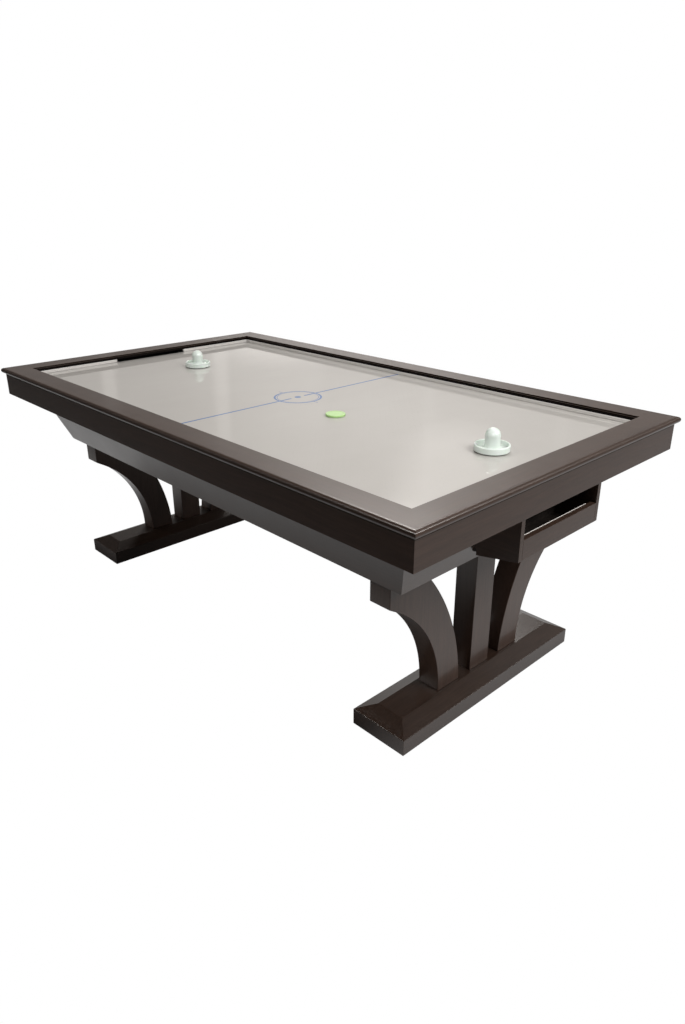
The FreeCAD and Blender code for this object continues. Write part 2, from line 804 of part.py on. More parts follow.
def goal_floor(end, degrees):
    """The floor runs back under the slope of the cabinet's end and stands up there as a lip,
    so that nothing drops out behind it and the notches in the cheeks are closed."""
    body = new_body("goal_floor_" + end)
    sketch = new_sketch(body, "XZ", "Floor")
    front_x = dim.box_front - dim.box_board - FLOOR_FRONT_GAP
    back_z = floor_at(wall_at(dim.box_back_low))
    lip_x = dim.box_back + LIP_IN
    lip_z = dim.box_back_low + LIP_RISE
    outline(
        sketch,
        [
            (wall_at(back_z) + FLOOR_WALL_GAP, back_z),
            (front_x, floor_at(front_x)),
            (front_x, floor_at(front_x) + dim.box_floor),
            (lip_x, floor_at(lip_x) + dim.box_floor),
            (lip_x, lip_z),
            (wall_at(lip_z) + FLOOR_WALL_GAP, lip_z),
        ],
    )
    pad(body, sketch, board_long, middle=True)
    turn(body, degrees)


def goal_chute(end, degrees):
    """An upright rectangular sleeve of thin sheet."""
    body = new_body("goal_chute_" + end)
    x0 = field_half_long + CHUTE_BACK
    x1 = apron_in_long - CHUTE_GAP
    half = dim.goal_half + CHUTE_SIDE
    wall = dim.chute_wall
    sketch = new_sketch(body, "XY", "Sleeve", dim.chute_low)
    rectangle(sketch, x0, x1, -half, half)
    rectangle(sketch, x0 + wall, x1 - wall, -half + wall, half - wall)
    pad(body, sketch, field_top - CHUTE_GAP - dim.chute_low)
    turn(body, degrees)


for end, degrees in ENDS:
    goal_cheeks(end, degrees)
    goal_front(end, degrees)
    goal_floor(end, degrees)
    goal_chute(end, degrees)

# ---------------------------------------------------------------- pedestals
SEAT_CLEAR = 0.1  # around the insert's flange
BARREL_CLEAR = 0.5  # beyond the insert's barrel
STUD_HOLE_DEEP = 64.0
# curve centre across, centre height, radius
OUTER_CURVE = (dim.outer_cy, dim.outer_cz, dim.outer_rad)
INNER_CURVE = (dim.inner_cy, dim.inner_cz, dim.inner_rad)
OUTER_MID, INNER_MID = 250.0, 300.0  # heights of a point within each curve


def foot(end, x):
    """Plank with a hipped top and stepped holes for the levellers from below."""
    body = new_body("foot_" + end)
    half_x, half_y = dim.foot_long / 2, dim.foot_half
    sketch = new_sketch(body, "XY", "Plank")
    centred(sketch, 0.0, 0.0, half_x, half_y)
    pad(body, sketch, dim.foot_edge)
    low = new_sketch(body, "XY", "HipLow", dim.foot_edge)
    centred(low, 0.0, 0.0, half_x, half_y)
    high = new_sketch(body, "XY", "HipHigh", dim.foot_high)
    centred(high, 0.0, 0.0, half_x - dim.foot_hip, half_y - dim.foot_hip_end)
    loft = body.newObject("PartDesign::AdditiveLoft", "Hips")
    loft.Profile = low
    loft.Sections = [high]
    loft.Ruled = True
    body.Tip = loft
    seat_deep = dim.pocket_deep + INSERT_FLANGE_THICK
    for name, radius, depth in (
        ("Pockets", dim.pocket_rad, dim.pocket_deep),
        ("Seats", dim.insert_flange + SEAT_CLEAR, seat_deep),
        ("Barrels", dim.insert_seat, seat_deep + dim.insert_long + BARREL_CLEAR),
        ("Ends", dim.bolt_clear, STUD_HOLE_DEEP),
    ):
        sketch = new_sketch(body, "XY", name)
        for side in (-1, 1):
            circle(sketch, 0.0, side * dim.leveler_place, radius)
        pocket(body, sketch, depth, back=True)
    place(body, x, 0.0, 0.0)


def pedestal_plate(end, x):
    body = new_body("pedestal_plate_" + end)
    sketch = new_sketch(body, "XY", "Plate", plate_low)
    centred(sketch, 0.0, 0.0, dim.plate_wide / 2, dim.plate_half)
    for side in (-1, 1):
        for distance in (dim.bolt_near, dim.bolt_far):
            circle(sketch, 0.0, side * distance, dim.bolt_clear)
    pad(body, sketch, dim.plate_thick)
    place(body, x, 0.0, 0.0)


def post(end, x):
    body = new_body("post_" + end)
    sketch = new_sketch(body, "XY", "Post", dim.foot_high)
    centred(sketch, 0.0, 0.0, dim.ped_thick / 2, dim.post_wide / 2)
    pad(body, sketch, plate_low - dim.foot_high)
    place(body, x, 0.0, 0.0)


def across_at(curve, z):
    """Distance of a leg's curve from the middle at height z."""
    centre_y, centre_z, radius = curve
    return centre_y - half_chord(radius, Size.of(z) - centre_z)


def leg(end, name, side, x):
    body = new_body("leg_%s_%s" % (end, name))
    sketch = new_sketch(body, "YZ", "Curve")
    # height where the outer curve reaches the step under the leg's head
    step_z = dim.outer_cz + half_chord(dim.outer_rad, dim.outer_cy - dim.leg_step)
    foot_z = dim.foot_high
    outline(
        sketch,
        [
            (side * dim.leg_out, plate_low),
            (side * dim.leg_out, dim.leg_head),
            (side * dim.leg_step, step_z,
             side * across_at(OUTER_CURVE, OUTER_MID), OUTER_MID, dim.outer_rad),
            (side * across_at(OUTER_CURVE, foot_z), foot_z),
            (side * across_at(INNER_CURVE, foot_z), foot_z,
             side * across_at(INNER_CURVE, INNER_MID), INNER_MID, dim.inner_rad),
            (side * across_at(INNER_CURVE, plate_low), plate_low),
        ],
    )
    pad(body, sketch, dim.ped_thick, middle=True)
    place(body, x, 0.0, 0.0)


for end, x in (("right", dim.ped_place), ("left", -dim.ped_place)):
    foot(end, x)
    pedestal_plate(end, x)
    post(end, x)
    leg(end, "front", -1, x)
    leg(end, "back", 1, x)

# ---------------------------------------------------------------- bolts, inserts and levellers
HEAD_RAD = 9.8  # to the hexagon's corners
HEAD_HIGH = 6.4
BOLT_INTO_HEAD = 1.0
BOLT_ABOVE = 4.0  # shank's end above the cabinet's bottom board
BARREL_LAP = 0.5  # barrel runs into the flange
BORE_SPARE = 1.0  # bore cutter beyond each end


def bolt(number, x, y):
    """Hexagon head under the mounting plate, shank up into an insert."""
    head = doc.addObject("Part::Prism", "BoltHead%d" % number)
    head.Polygon = 6
    head.Circumradius = HEAD_RAD
    head.Height = HEAD_HIGH
    place(head, x, y, plate_low - HEAD_HIGH)
    shank = cylinder(
        "BoltShank%d" % number, x, y,
        plate_low - BOLT_INTO_HEAD, cab_floor + BOLT_ABOVE, dim.bolt_rad,
    )
    return fuse("Bolt%d" % number, [head, shank])


def insert(number, x, y, face, way):
    """A threaded insert with its flange's face at a height; its barrel runs up for way 1
    and down for way -1."""
    shoulder = face + way * INSERT_FLANGE_THICK
    end = shoulder + way * dim.insert_long
    flange = cylinder("InsertFlange%d" % number, x, y, face, shoulder, dim.insert_flange)
    barrel = cylinder(
        "InsertBarrel%d" % number, x, y, shoulder - way * BARREL_LAP, end, dim.insert_rad
    )
    bore = cylinder(
        "InsertBore%d" % number, x, y,
        face - way * BORE_SPARE, end + way * BORE_SPARE, dim.insert_bore,
    )
    solid = fuse("InsertBody%d" % number, [flange, barrel])
    return cut("Insert%d" % number, solid, bore)


leveler_spots = [
    ("leveler_%s_%s" % (end, name), x * dim.ped_place, y * dim.leveler_place)
    for end, x in (("right", 1), ("left", -1))
    for name, y in (("front", -1), ("back", 1))
]

group("pedestal_bolts", [bolt(number, x, y) for number, (x, y) in enumerate(bolt_spots)])

inserts = []
for x, y in bolt_spots:
    inserts.append(insert(len(inserts), x, y, cab_floor + INSERT_FLANGE_THICK, -1))
for _, x, y in leveler_spots:
    inserts.append(insert(len(inserts), x, y, dim.pocket_deep, 1))
group("threaded_inserts", inserts)

# half outline of a leveller, radius and height: round foot, collar and stud
foot_rad = dim.leveler_rad
LEVELER_HALF = [
    (0.0, 1.0), (foot_rad - 3.0, 1.0), (foot_rad, 3.0), (foot_rad, 6.0),
    (foot_rad - 2.0, 8.0), (9.0, 8.5), (9.0, 9.5), (5.0, 9.5),
    (5.0, 55.0), (4.0, 56.0), (0.0, 56.0),
]
for label, x, y in leveler_spots:
    turned_piece(label, "XZ", LEVELER_HALF, x, y, 0.0)

# ---------------------------------------------------------------- blower
# Its axis runs along Y over the table's middle; the motor is at the front, the eye at the back.
FLANGE_THICK = 3.0  # flange under the deck
FLANGE_RIM = 14.0  # flange around the outlet
FLANGE_OVER = 1.0  # outer shell runs into the flange
DUCT_OVER = 2.0  # duct cutter above the flange
EYE_RAD = 43.0
EYE_DEEP = 60.0
SHAFT_HOLE_RAD = 9.0
SHAFT_HOLE_DEEP = 200.0
SCREW_RAD = 2.2
SCREW_OUT_X, SCREW_OUT_Y = 8.0, 7.0  # screws from the outlet's outer faces
SCREW_BELOW, SCREW_DEEP = 1.0, 6.0
HUB_RAD = 12.0
HUB_LONG = 30.0
DISC_THICK = 2.0
DISC_GAP = 6.0  # impeller's disc from the housing's front face
BLADE_LAP = 1.0  # blades start inside the disc
BLADE_SHORT = 14.0  # blades shorter than the housing's width
BLADES = 24
RING_THICK = 3.0
RING_BACK = 9.5  # ring's front face from the housing's back face

axis_z = dim.fan_height
fan_half = dim.fan_half
motor_front = -fan_half - dim.motor_long


def scroll(sketch, inward, high):
    """Housing outline: round below, with an upright outlet on the right side."""
    radius = dim.scroll_rad - inward
    tongue = dim.scroll_tongue + inward
    outline(
        sketch,
        [
            (radius, high),
            (radius, axis_z, -radius * 0.6, axis_z - radius * 0.8, radius),
            (tongue, axis_z + half_chord(radius, tongue)),
            (tongue, high),
        ],
    )


def blower_housing():
    body = new_body("blower_housing")
    left, right = dim.scroll_tongue, dim.scroll_rad
    wall = dim.scroll_wall
    flange_low = deck_low - FLANGE_THICK
    sketch = new_sketch(body, "XZ", "Outside")
    scroll(sketch, 0.0, flange_low + FLANGE_OVER)
    pad(body, sketch, 2 * fan_half, middle=True)
    sketch = new_sketch(body, "XY", "Flange", flange_low)
    rim_y = fan_half + FLANGE_RIM
    rectangle(sketch, left - FLANGE_RIM, right + FLANGE_RIM, -rim_y, rim_y)
    pad(body, sketch, FLANGE_THICK)
    sketch = new_sketch(body, "XZ", "Inside")
    scroll(sketch, wall, deck_low + DUCT_OVER)
    pocket(body, sketch, 2 * fan_half - 2 * wall, middle=True)
    sketch = new_sketch(body, "XZ", "InletEye")
    circle(sketch, 0.0, axis_z, EYE_RAD)
    pocket(body, sketch, EYE_DEEP)
    sketch = new_sketch(body, "XZ", "ShaftHole")
    circle(sketch, 0.0, axis_z, SHAFT_HOLE_RAD)
    pocket(body, sketch, SHAFT_HOLE_DEEP, middle=True)
    sketch = new_sketch(body, "XY", "ScrewHoles", flange_low - SCREW_BELOW)
    for side in (-1, 1):
        for x in (left - SCREW_OUT_X, right + SCREW_OUT_X):
            circle(sketch, x, side * (fan_half + SCREW_OUT_Y), SCREW_RAD)
    pocket(body, sketch, SCREW_DEEP, back=True)


def blower_motor():
    """Case on the housing's front side, with a mounting rim, a shallow waist, an end bell
    and a bearing bore."""
    radius, bore = dim.motor_rad, dim.shaft_bore
    back, front = -fan_half, motor_front
    # radius, place along Y
    half = [
        (bore, back), (radius + 8.0, back), (radius + 8.0, back - 3.0), (radius, back - 3.0),
        (radius, back - 24.0), (radius - 1.5, back - 25.0), (radius - 1.5, back - 47.0),
        (radius, back - 48.0), (radius, front + 6.0), (radius - 6.0, front),
        (12.0, front), (12.0, front - 5.0), (bore, front - 5.0),
    ]
    turned_piece("blower_motor", "XY", half, 0.0, 0.0, axis_z)


def motor_shaft():
    """Runs from in front of the motor into the impeller, bevelled at both ends."""
    radius, bevel = dim.shaft_rad, 0.5
    front = motor_front - 9.0
    back = fan_half - 12.5
    half = [
        (0.0, front), (radius - bevel, front), (radius, front + bevel),
        (radius, back - bevel), (radius - bevel, back), (0.0, back),
    ]
    turned_piece("motor_shaft", "XY", half, 0.0, 0.0, axis_z)


def blower_impeller():
    """Disc with a hub, a ring of blades and a ring round their back ends."""
    body = new_body("blower_impeller")
    outer, inner, bore = dim.fan_rad, dim.fan_in, dim.shaft_rad
    disc_y = -fan_half + DISC_GAP
    revolve(
        body, "XY", "Back",
        [
            (bore, disc_y), (outer, disc_y), (outer, disc_y + DISC_THICK),
            (HUB_RAD, disc_y + DISC_THICK), (HUB_RAD, disc_y + HUB_LONG),
            (bore, disc_y + HUB_LONG),
        ],
    )
    sketch = new_sketch(body, "XZ", "Blade", -(disc_y + BLADE_LAP))
    # radial place and rise of the slanted blade's corners
    outline(sketch, [(inner, -0.7), (outer - 1.0, 3.3), (outer - 1.0, 4.8), (inner, 0.9)])
    pad(body, sketch, 2 * fan_half - BLADE_SHORT, back=True)
    doc.recompute()
    blade = body.Tip
    pattern = body.newObject("PartDesign::PolarPattern", "Blades")
    pattern.Originals = [blade]
    pattern.Axis = (origin_feature(body, "Y_Axis"), [""])
    pattern.Angle = 360
    pattern.Occurrences = BLADES
    body.Tip = pattern
    doc.recompute()
    ring_y = fan_half - RING_BACK
    revolve(body, "XY", "Ring", corners(inner - 1.0, outer, ring_y, ring_y + RING_THICK))
    place(body, 0.0, 0.0, axis_z)


blower_housing()
blower_motor()
motor_shaft()
blower_impeller()

# ---------------------------------------------------------------- intake grille
GRILLE_THICK = 2.0
GRILLE_HALF = 75.0
COLLAR_HALF, COLLAR_IN, COLLAR_HIGH = 64.5, 62.0, 10.0
SLOT_PITCH, SLOT_HALF_LONG, SLOT_HALF_WIDE = 13.5, 56.0, 4.0


def intake_grille():
    """Slotted plate under the cabinet with a square collar up into its opening."""
    body = new_body("intake_grille")
    sketch = new_sketch(body, "XY", "Plate", cab_low - GRILLE_THICK)
    centred(sketch, 0.0, INTAKE_Y, GRILLE_HALF, GRILLE_HALF)
    pad(body, sketch, GRILLE_THICK)
    sketch = new_sketch(body, "XY", "Collar", cab_low)
    for half in (COLLAR_HALF, COLLAR_IN):
        centred(sketch, 0.0, INTAKE_Y, half, half)
    pad(body, sketch, COLLAR_HIGH)
    sketch = new_sketch(body, "XY", "Slots", cab_low - GRILLE_THICK)
    for step in range(-4, 5):
        centred(sketch, 0.0, INTAKE_Y + step * SLOT_PITCH, SLOT_HALF_LONG, SLOT_HALF_WIDE)
    pocket(body, sketch, GRILLE_THICK, back=True)


intake_grille()

# ---------------------------------------------------------------- switch
# half sizes are along X and Y
BEZEL_HALF, BEZEL_THICK = (17.0, 14.0), 2.0
SWITCH_CASE, SWITCH_CASE_HIGH = (13.7, 10.7), 24.0
SWITCH_WELL, SWITCH_WELL_DEEP = (10.5, 7.2), 15.0
PIVOT_HOLE_RAD, PIVOT_HOLE_LONG = 1.55, 18.4
PIVOT_RAD, PIVOT_LONG = 1.5, 18.0
ROCKER_WIDE = 14.0
# rocker outline: along X and up, from the pivot
ROCKER = [
    (-9.6, -6.6), (0.0, -4.8), (9.6, -6.6), (9.0, 2.5), (3.0, 5.0), (-3.0, 5.0), (-9.0, 2.5),
]
pivot_z = cab_low + 3.0


def switch_body():
    body = new_body("switch_body")
    sketch = new_sketch(body, "XY", "Bezel", cab_low - BEZEL_THICK)
    centred(sketch, SWITCH_X, SWITCH_Y, *BEZEL_HALF)
    pad(body, sketch, BEZEL_THICK)
    sketch = new_sketch(body, "XY", "Case", cab_low)
    centred(sketch, SWITCH_X, SWITCH_Y, *SWITCH_CASE)
    pad(body, sketch, SWITCH_CASE_HIGH)
    sketch = new_sketch(body, "XY", "Well", cab_low - BEZEL_THICK)
    centred(sketch, SWITCH_X, SWITCH_Y, *SWITCH_WELL)
    pocket(body, sketch, SWITCH_WELL_DEEP, back=True)
    sketch = new_sketch(body, "XZ", "Pivot", -SWITCH_Y)
    circle(sketch, SWITCH_X, pivot_z, PIVOT_HOLE_RAD)
    pocket(body, sketch, PIVOT_HOLE_LONG, middle=True)


def switch_rocker():
    body = new_body("switch_rocker")
    sketch = new_sketch(body, "XZ", "Rocker", -SWITCH_Y)
    outline(sketch, [(SWITCH_X + x, pivot_z + z) for x, z in ROCKER])
    pad(body, sketch, ROCKER_WIDE, middle=True)
    sketch = new_sketch(body, "XZ", "Stubs", -SWITCH_Y)
    circle(sketch, SWITCH_X, pivot_z, PIVOT_RAD)
    pad(body, sketch, PIVOT_LONG, middle=True)


switch_body()
switch_rocker()

# ---------------------------------------------------------------- mains socket
SOCKET_FLANGE, SOCKET_FLANGE_THICK = (24.0, 15.0), 2.5
SOCKET_CASE, SOCKET_CASE_HIGH = (14.0, 12.0), 26.0
SOCKET_WELL_DEEP = 18.0
# well outline and pin places, from the socket's centre
SOCKET_WELL = [
    (-12.0, -8.5), (12.0, -8.5), (12.0, 4.0), (8.0, 8.5), (-8.0, 8.5), (-12.0, 4.0),
]
SOCKET_PINS = ((-7.0, -2.0), (7.0, -2.0), (0.0, 2.5))
PIN_HALF, PIN_RISE, PIN_LONG = (1.0, 2.0), 1.0, 16.0
SOCKET_SCREW_OUT, SOCKET_SCREW_RAD = 20.0, 1.7


def power_inlet():
    body = new_body("power_inlet")
    flange_low = cab_low - SOCKET_FLANGE_THICK
    sketch = new_sketch(body, "XY", "Flange", flange_low)
    centred(sketch, INLET_X, INLET_Y, *SOCKET_FLANGE)
    pad(body, sketch, SOCKET_FLANGE_THICK)
    sketch = new_sketch(body, "XY", "Case", cab_low)
    centred(sketch, INLET_X, INLET_Y, *SOCKET_CASE)
    pad(body, sketch, SOCKET_CASE_HIGH)
    sketch = new_sketch(body, "XY", "Well", flange_low)
    outline(sketch, [(INLET_X + x, INLET_Y + y) for x, y in SOCKET_WELL])
    pocket(body, sketch, SOCKET_WELL_DEEP, back=True)
    sketch = new_sketch(body, "XY", "Screws", flange_low)
    for side in (-1, 1):
        circle(sketch, INLET_X + side * SOCKET_SCREW_OUT, INLET_Y, SOCKET_SCREW_RAD)
    pocket(body, sketch, SOCKET_FLANGE_THICK, back=True)
    sketch = new_sketch(body, "XY", "Pins", cab_low + PIN_RISE)
    for x, y in SOCKET_PINS:
        centred(sketch, INLET_X + x, INLET_Y + y, *PIN_HALF)
    pad(body, sketch, PIN_LONG)


power_inlet()

# ---------------------------------------------------------------- strikers, felts and puck
# half outlines are radius and height above the gliding face
glide = field_top + dim.glide_gap


def striker_half():
    """Dished disc with a raised rim and a round-topped knob in the middle."""
    radius, rim, knob = dim.striker_rad, dim.striker_rim, dim.knob_rad
    felt = dim.felt_thick
    neck = knob - 0.5
    knob_z = dim.striker_high - knob
    return [
        (0.0, felt),
        (radius - 1.5, felt),
        (radius, felt + 1.5),
        (radius, rim - 2.0),
        (radius - 2.0, rim),
        (radius - 4.0, rim),
        (radius - 6.0, rim - 2.0),
        (radius - 7.0, 8.5),
        (radius - 9.5, 6.5),
        (neck + 8.0, 6.5),
        (neck + 2.2, 9.5),
        (neck, 17.0),
        (neck, knob_z - 9.0),
        (knob, knob_z, knob * DIAGONAL, knob_z + knob * DIAGONAL, knob),
        (0.0, dim.striker_high),
    ]


def felt_half():
    """Thin disc under the striker with a bevelled lower edge."""
    radius, bevel = dim.striker_rad - 3.0, 0.4
    thick = dim.felt_thick
    return [(0.0, 0.0), (radius - bevel, 0.0), (radius, bevel), (radius, thick), (0.0, thick)]


def puck_half():
    """Disc with bevelled edges and a shallow recess in its top."""
    radius, thick = dim.puck_rad, dim.puck_thick
    bevel, recess = 0.8, 0.6
    return [
        (0.0, 0.0), (radius - bevel, 0.0), (radius, bevel), (radius, thick - bevel),
        (radius - bevel, thick), (radius - 5.0, thick), (radius - 5.6, thick - recess),
        (0.0, thick - recess),
    ]


for end, x, y in (
    ("right", dim.striker_r_along, dim.striker_r_across),
    ("left", dim.striker_l_along, dim.striker_l_across),
):
    turned_piece("striker_" + end, "XZ", striker_half(), x, y, glide)
    turned_piece("felt_" + end, "XZ", felt_half(), x, y, glide)
turned_piece("puck", "XZ", puck_half(), dim.puck_along, dim.puck_across, glide)

# ---------------------------------------------------------------- checks and files
doc.recompute()
failed = [o.Label for o in doc.Objects if "Invalid" in o.State or "Error" in o.State]
if failed:
    raise RuntimeError("failed objects: %s" % failed)
for piece in pieces:
    if piece.Shape.isNull() or not piece.Shape.isValid():
        raise RuntimeError("bad shape: " + piece.Label)
    if not piece.Shape.Solids:
        raise RuntimeError("no solid: " + piece.Label)

os.makedirs("parts", exist_ok=True)
for piece in pieces:
    piece.Shape.exportStep(os.path.join("parts", piece.Label + ".step"))
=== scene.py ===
# An air hockey table with two strikers and a puck: dark wooden rails, aprons, cabinet and
# legs around a pale, air-drilled playing surface.
# X runs along the table, Y across it and Z up from the floor; the origin is under its middle.
# The "right" end is at +X.
import json
import math
from functools import cache, partialmethod

import bmesh
import bpy
from mathutils import Matrix, Vector

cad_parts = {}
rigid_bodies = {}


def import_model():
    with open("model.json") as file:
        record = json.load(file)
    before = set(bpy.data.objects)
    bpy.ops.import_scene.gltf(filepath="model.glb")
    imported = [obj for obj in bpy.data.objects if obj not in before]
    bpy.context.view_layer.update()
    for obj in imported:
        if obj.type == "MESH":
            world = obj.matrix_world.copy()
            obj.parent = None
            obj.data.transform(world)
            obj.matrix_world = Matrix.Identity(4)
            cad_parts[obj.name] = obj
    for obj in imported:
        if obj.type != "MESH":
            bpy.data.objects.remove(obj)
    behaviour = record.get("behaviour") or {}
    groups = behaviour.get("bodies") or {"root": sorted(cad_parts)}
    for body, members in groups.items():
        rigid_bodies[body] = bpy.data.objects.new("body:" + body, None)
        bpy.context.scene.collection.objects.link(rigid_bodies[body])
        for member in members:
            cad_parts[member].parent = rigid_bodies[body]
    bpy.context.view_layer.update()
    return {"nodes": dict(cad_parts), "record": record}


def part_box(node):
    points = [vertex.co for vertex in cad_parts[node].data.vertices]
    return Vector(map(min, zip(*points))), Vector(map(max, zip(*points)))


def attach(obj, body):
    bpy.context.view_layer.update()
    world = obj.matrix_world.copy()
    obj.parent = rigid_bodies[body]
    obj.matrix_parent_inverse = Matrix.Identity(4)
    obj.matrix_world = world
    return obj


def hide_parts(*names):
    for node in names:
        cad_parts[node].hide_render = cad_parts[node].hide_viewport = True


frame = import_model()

NODES = frame["nodes"]
SLOT_OF = {part["node"]: part["material_slot"] for part in frame["record"]["subparts"]}
BODY_OF = {
    node: body for body, nodes in frame["record"]["behaviour"]["bodies"].items() for node in nodes
}
scene = bpy.context.scene
MM = 0.001
END_SIDES = {"right": 1, "left": -1}


# ------------------------------------------------------------------ node graphs
class Graph:
    """Short ways to build and link shader nodes; each method returns an output socket."""

    def __init__(self, tree, output="ShaderNodeOutputMaterial", space="Object"):
        self.tree = tree
        tree.nodes.clear()
        self.out = self.node(output)
        self.space = self.node("ShaderNodeTexCoord").outputs[space]

    def node(self, kind, **settings):
        node = self.tree.nodes.new(kind)
        for key, value in settings.items():
            setattr(node, key, value)
        return node

    def put(self, socket, value):
        """Links a socket, or sets its value."""
        if isinstance(value, bpy.types.NodeSocket):
            self.tree.links.new(value, socket)
        elif isinstance(value, (tuple, list)) and len(value) == 3 and socket.type == "RGBA":
            socket.default_value = (*value, 1.0)
        else:
            socket.default_value = value

    def place(self, scale=(1, 1, 1), offset=(0, 0, 0), source=None):
        node = self.node("ShaderNodeMapping")
        self.put(node.inputs["Vector"], source or self.space)
        node.inputs["Scale"].default_value = scale
        node.inputs["Location"].default_value = offset
        return node.outputs[0]

    def noise(self, where=None, *, scale, detail=3.0, rough=0.5, warp=0.0, colour=False):
        node = self.node("ShaderNodeTexNoise")
        self.put(node.inputs["Vector"], where or self.place())
        node.inputs["Scale"].default_value = scale
        node.inputs["Detail"].default_value = detail
        node.inputs["Roughness"].default_value = rough
        node.inputs["Distortion"].default_value = warp
        return node.outputs["Color" if colour else "Fac"]

    def cells(self, scale):
        node = self.node("ShaderNodeTexVoronoi")
        self.put(node.inputs["Vector"], self.place())
        node.inputs["Scale"].default_value = scale
        return node.outputs["Distance"]

    def ramp(self, fac, stops):
        """Colours a value; stops maps each position to its colour."""
        node = self.node("ShaderNodeValToRGB")
        self.put(node.inputs["Fac"], fac)
        elements = node.color_ramp.elements
        while len(elements) < len(stops):
            elements.new(0.5)
        for element, (position, colour) in zip(elements, stops.items()):
            element.position = position
            element.color = (*colour, 1.0)
        return node.outputs["Color"]

    def mix(self, fac, under, over):
        node = self.node("ShaderNodeMix", data_type="RGBA", blend_type="MIX")
        self.put(node.inputs[0], fac)
        self.put(node.inputs[6], under)
        self.put(node.inputs[7], over)
        return node.outputs[2]

    def calc(self, operation, first, second=0.0, third=0.0):
        node = self.node("ShaderNodeMath", operation=operation)
        for socket, value in zip(node.inputs, (first, second, third)):
            self.put(socket, value)
        return node.outputs[0]

    plus = partialmethod(calc, "ADD")
    minus = partialmethod(calc, "SUBTRACT")
    times = partialmethod(calc, "MULTIPLY")
    larger = partialmethod(calc, "MAXIMUM")
    size = partialmethod(calc, "ABSOLUTE")

    def affine(self, value, times, plus):
        return self.calc("MULTIPLY_ADD", value, times, plus)

    def span(self, value, over, to=(0.0, 1.0)):
        """Eases from to[0] to to[1] while the value crosses the range `over`."""
        node = self.node("ShaderNodeMapRange", interpolation_type="SMOOTHSTEP")
        self.put(node.inputs["Value"], value)
        node.inputs["From Min"].default_value, node.inputs["From Max"].default_value = over
        node.inputs["To Min"].default_value, node.inputs["To Max"].default_value = to
        return node.outputs[0]

    def axes(self):
        node = self.node("ShaderNodeSeparateXYZ")
        self.put(node.inputs[0], self.space)
        return node.outputs

    def bump(self, height, distance, strength):
        node = self.node("ShaderNodeBump")
        node.inputs["Strength"].default_value = strength
        node.inputs["Distance"].default_value = distance
        self.put(node.inputs["Height"], height)
        return node.outputs[0]

    def emit(self, kind, channels):
        """Emits the colour made of three channels, but shows the camera plain white."""
        colour = self.node("ShaderNodeCombineColor")
        for socket, channel in zip(colour.inputs, channels):
            self.put(socket, channel)
        glow = self.node(kind)
        self.put(glow.inputs["Color"], colour.outputs[0])
        white = self.node(kind)
        self.put(white.inputs["Color"], (1.0, 1.0, 1.0))
        pick = self.node("ShaderNodeMixShader")
        self.put(pick.inputs[0], self.node("ShaderNodeLightPath").outputs["Is Camera Ray"])
        self.put(pick.inputs[1], glow.outputs[0])
        self.put(pick.inputs[2], white.outputs[0])
        self.put(self.out.inputs["Surface"], pick.outputs[0])


def new_material(name):
    material = bpy.data.materials.new(name)
    material.use_nodes = True
    return material


class Shader(Graph):
    """A Principled material whose inputs are driven by small node chains."""

    def __init__(self, name):
        self.material = new_material(name)
        super().__init__(self.material.node_tree)
        self.main = self.node("ShaderNodeBsdfPrincipled")
        self.put(self.out.inputs["Surface"], self.main.outputs[0])

    def set(self, **inputs):
        for key, value in inputs.items():
            self.put(self.main.inputs[key.replace("_", " ")], value)


# ------------------------------------------------------------------ stained wood
STAIN = {"dark": (0.0330, 0.0184, 0.0124), "pale": (0.0555, 0.0312, 0.0214)}
# the feet use the same stain darkened, as painted shade under the table
FOOT_STAIN_WITH_PAINTED_SHADE = {"dark": (0.0215, 0.0120, 0.0082), "pale": (0.0360, 0.0203, 0.0140)}
WOOD_SHINE = 0.30
WOOD_COAT = 0.32


def darker(colour, factor):
    return tuple(factor * channel for channel in colour)


def apron_ledge_dull_and_painted_shade(mat, colour, dark, ledge):
    """The thin upward-facing ledge just under the rail carries no lacquer; its colour is darkened
    as painted shade in the joint under the rail.
    """
    z = mat.axes()[2]
    dull = mat.span(z, over=(ledge - 0.0006, ledge - 0.0003), to=(0.0, 0.9))
    # darker(dark, 0.5) on the ledge is painted shade in the joint under the rail
    return mat.mix(dull, colour, darker(dark, 0.5)), dull


def rail_finish(mat, colour):
    """Blackens the rail's inner face, dulls its hollow and crowns the edge of its flat top."""
    x, y, z = mat.axes()
    # the inner face is darkened to near black above and below its thin ledge
    black = mat.times(
        mat.span(mat.size(x), over=(1.0111, 1.0116), to=(1.0, 0.0)),
        mat.span(mat.size(y), over=(0.5346, 0.5351), to=(1.0, 0.0)),
    )
    ledge_height = 0.8074
    from_ledge = mat.size(mat.minus(z, ledge_height))
    black = mat.times(black, mat.span(from_ledge, over=(0.0005, 0.0009)))
    black = mat.times(black, mat.span(z, over=(0.8112, 0.8122), to=(1.0, 0.0)))
    colour = mat.mix(black, colour, (0.0050, 0.0035, 0.0028))
    # the lacquer thins out in the hollow under the bullnose
    dull = mat.larger(black, mat.span(z, over=(0.7925, 0.7955), to=(0.85, 0.0)))
    # the lacquer crowns over the last few millimetres of the flat top, at +X and at -Y
    crown_x, crown_y, crown_width, crown_fall = 1.0883, 0.6118, 0.005, -550000.0
    past = mat.larger(mat.minus(x, crown_x), mat.minus(mat.times(y, -1.0), crown_y))
    past = mat.calc("MINIMUM", mat.larger(past, 0.0), crown_width)
    return colour, dull, mat.times(mat.times(past, past), crown_fall)


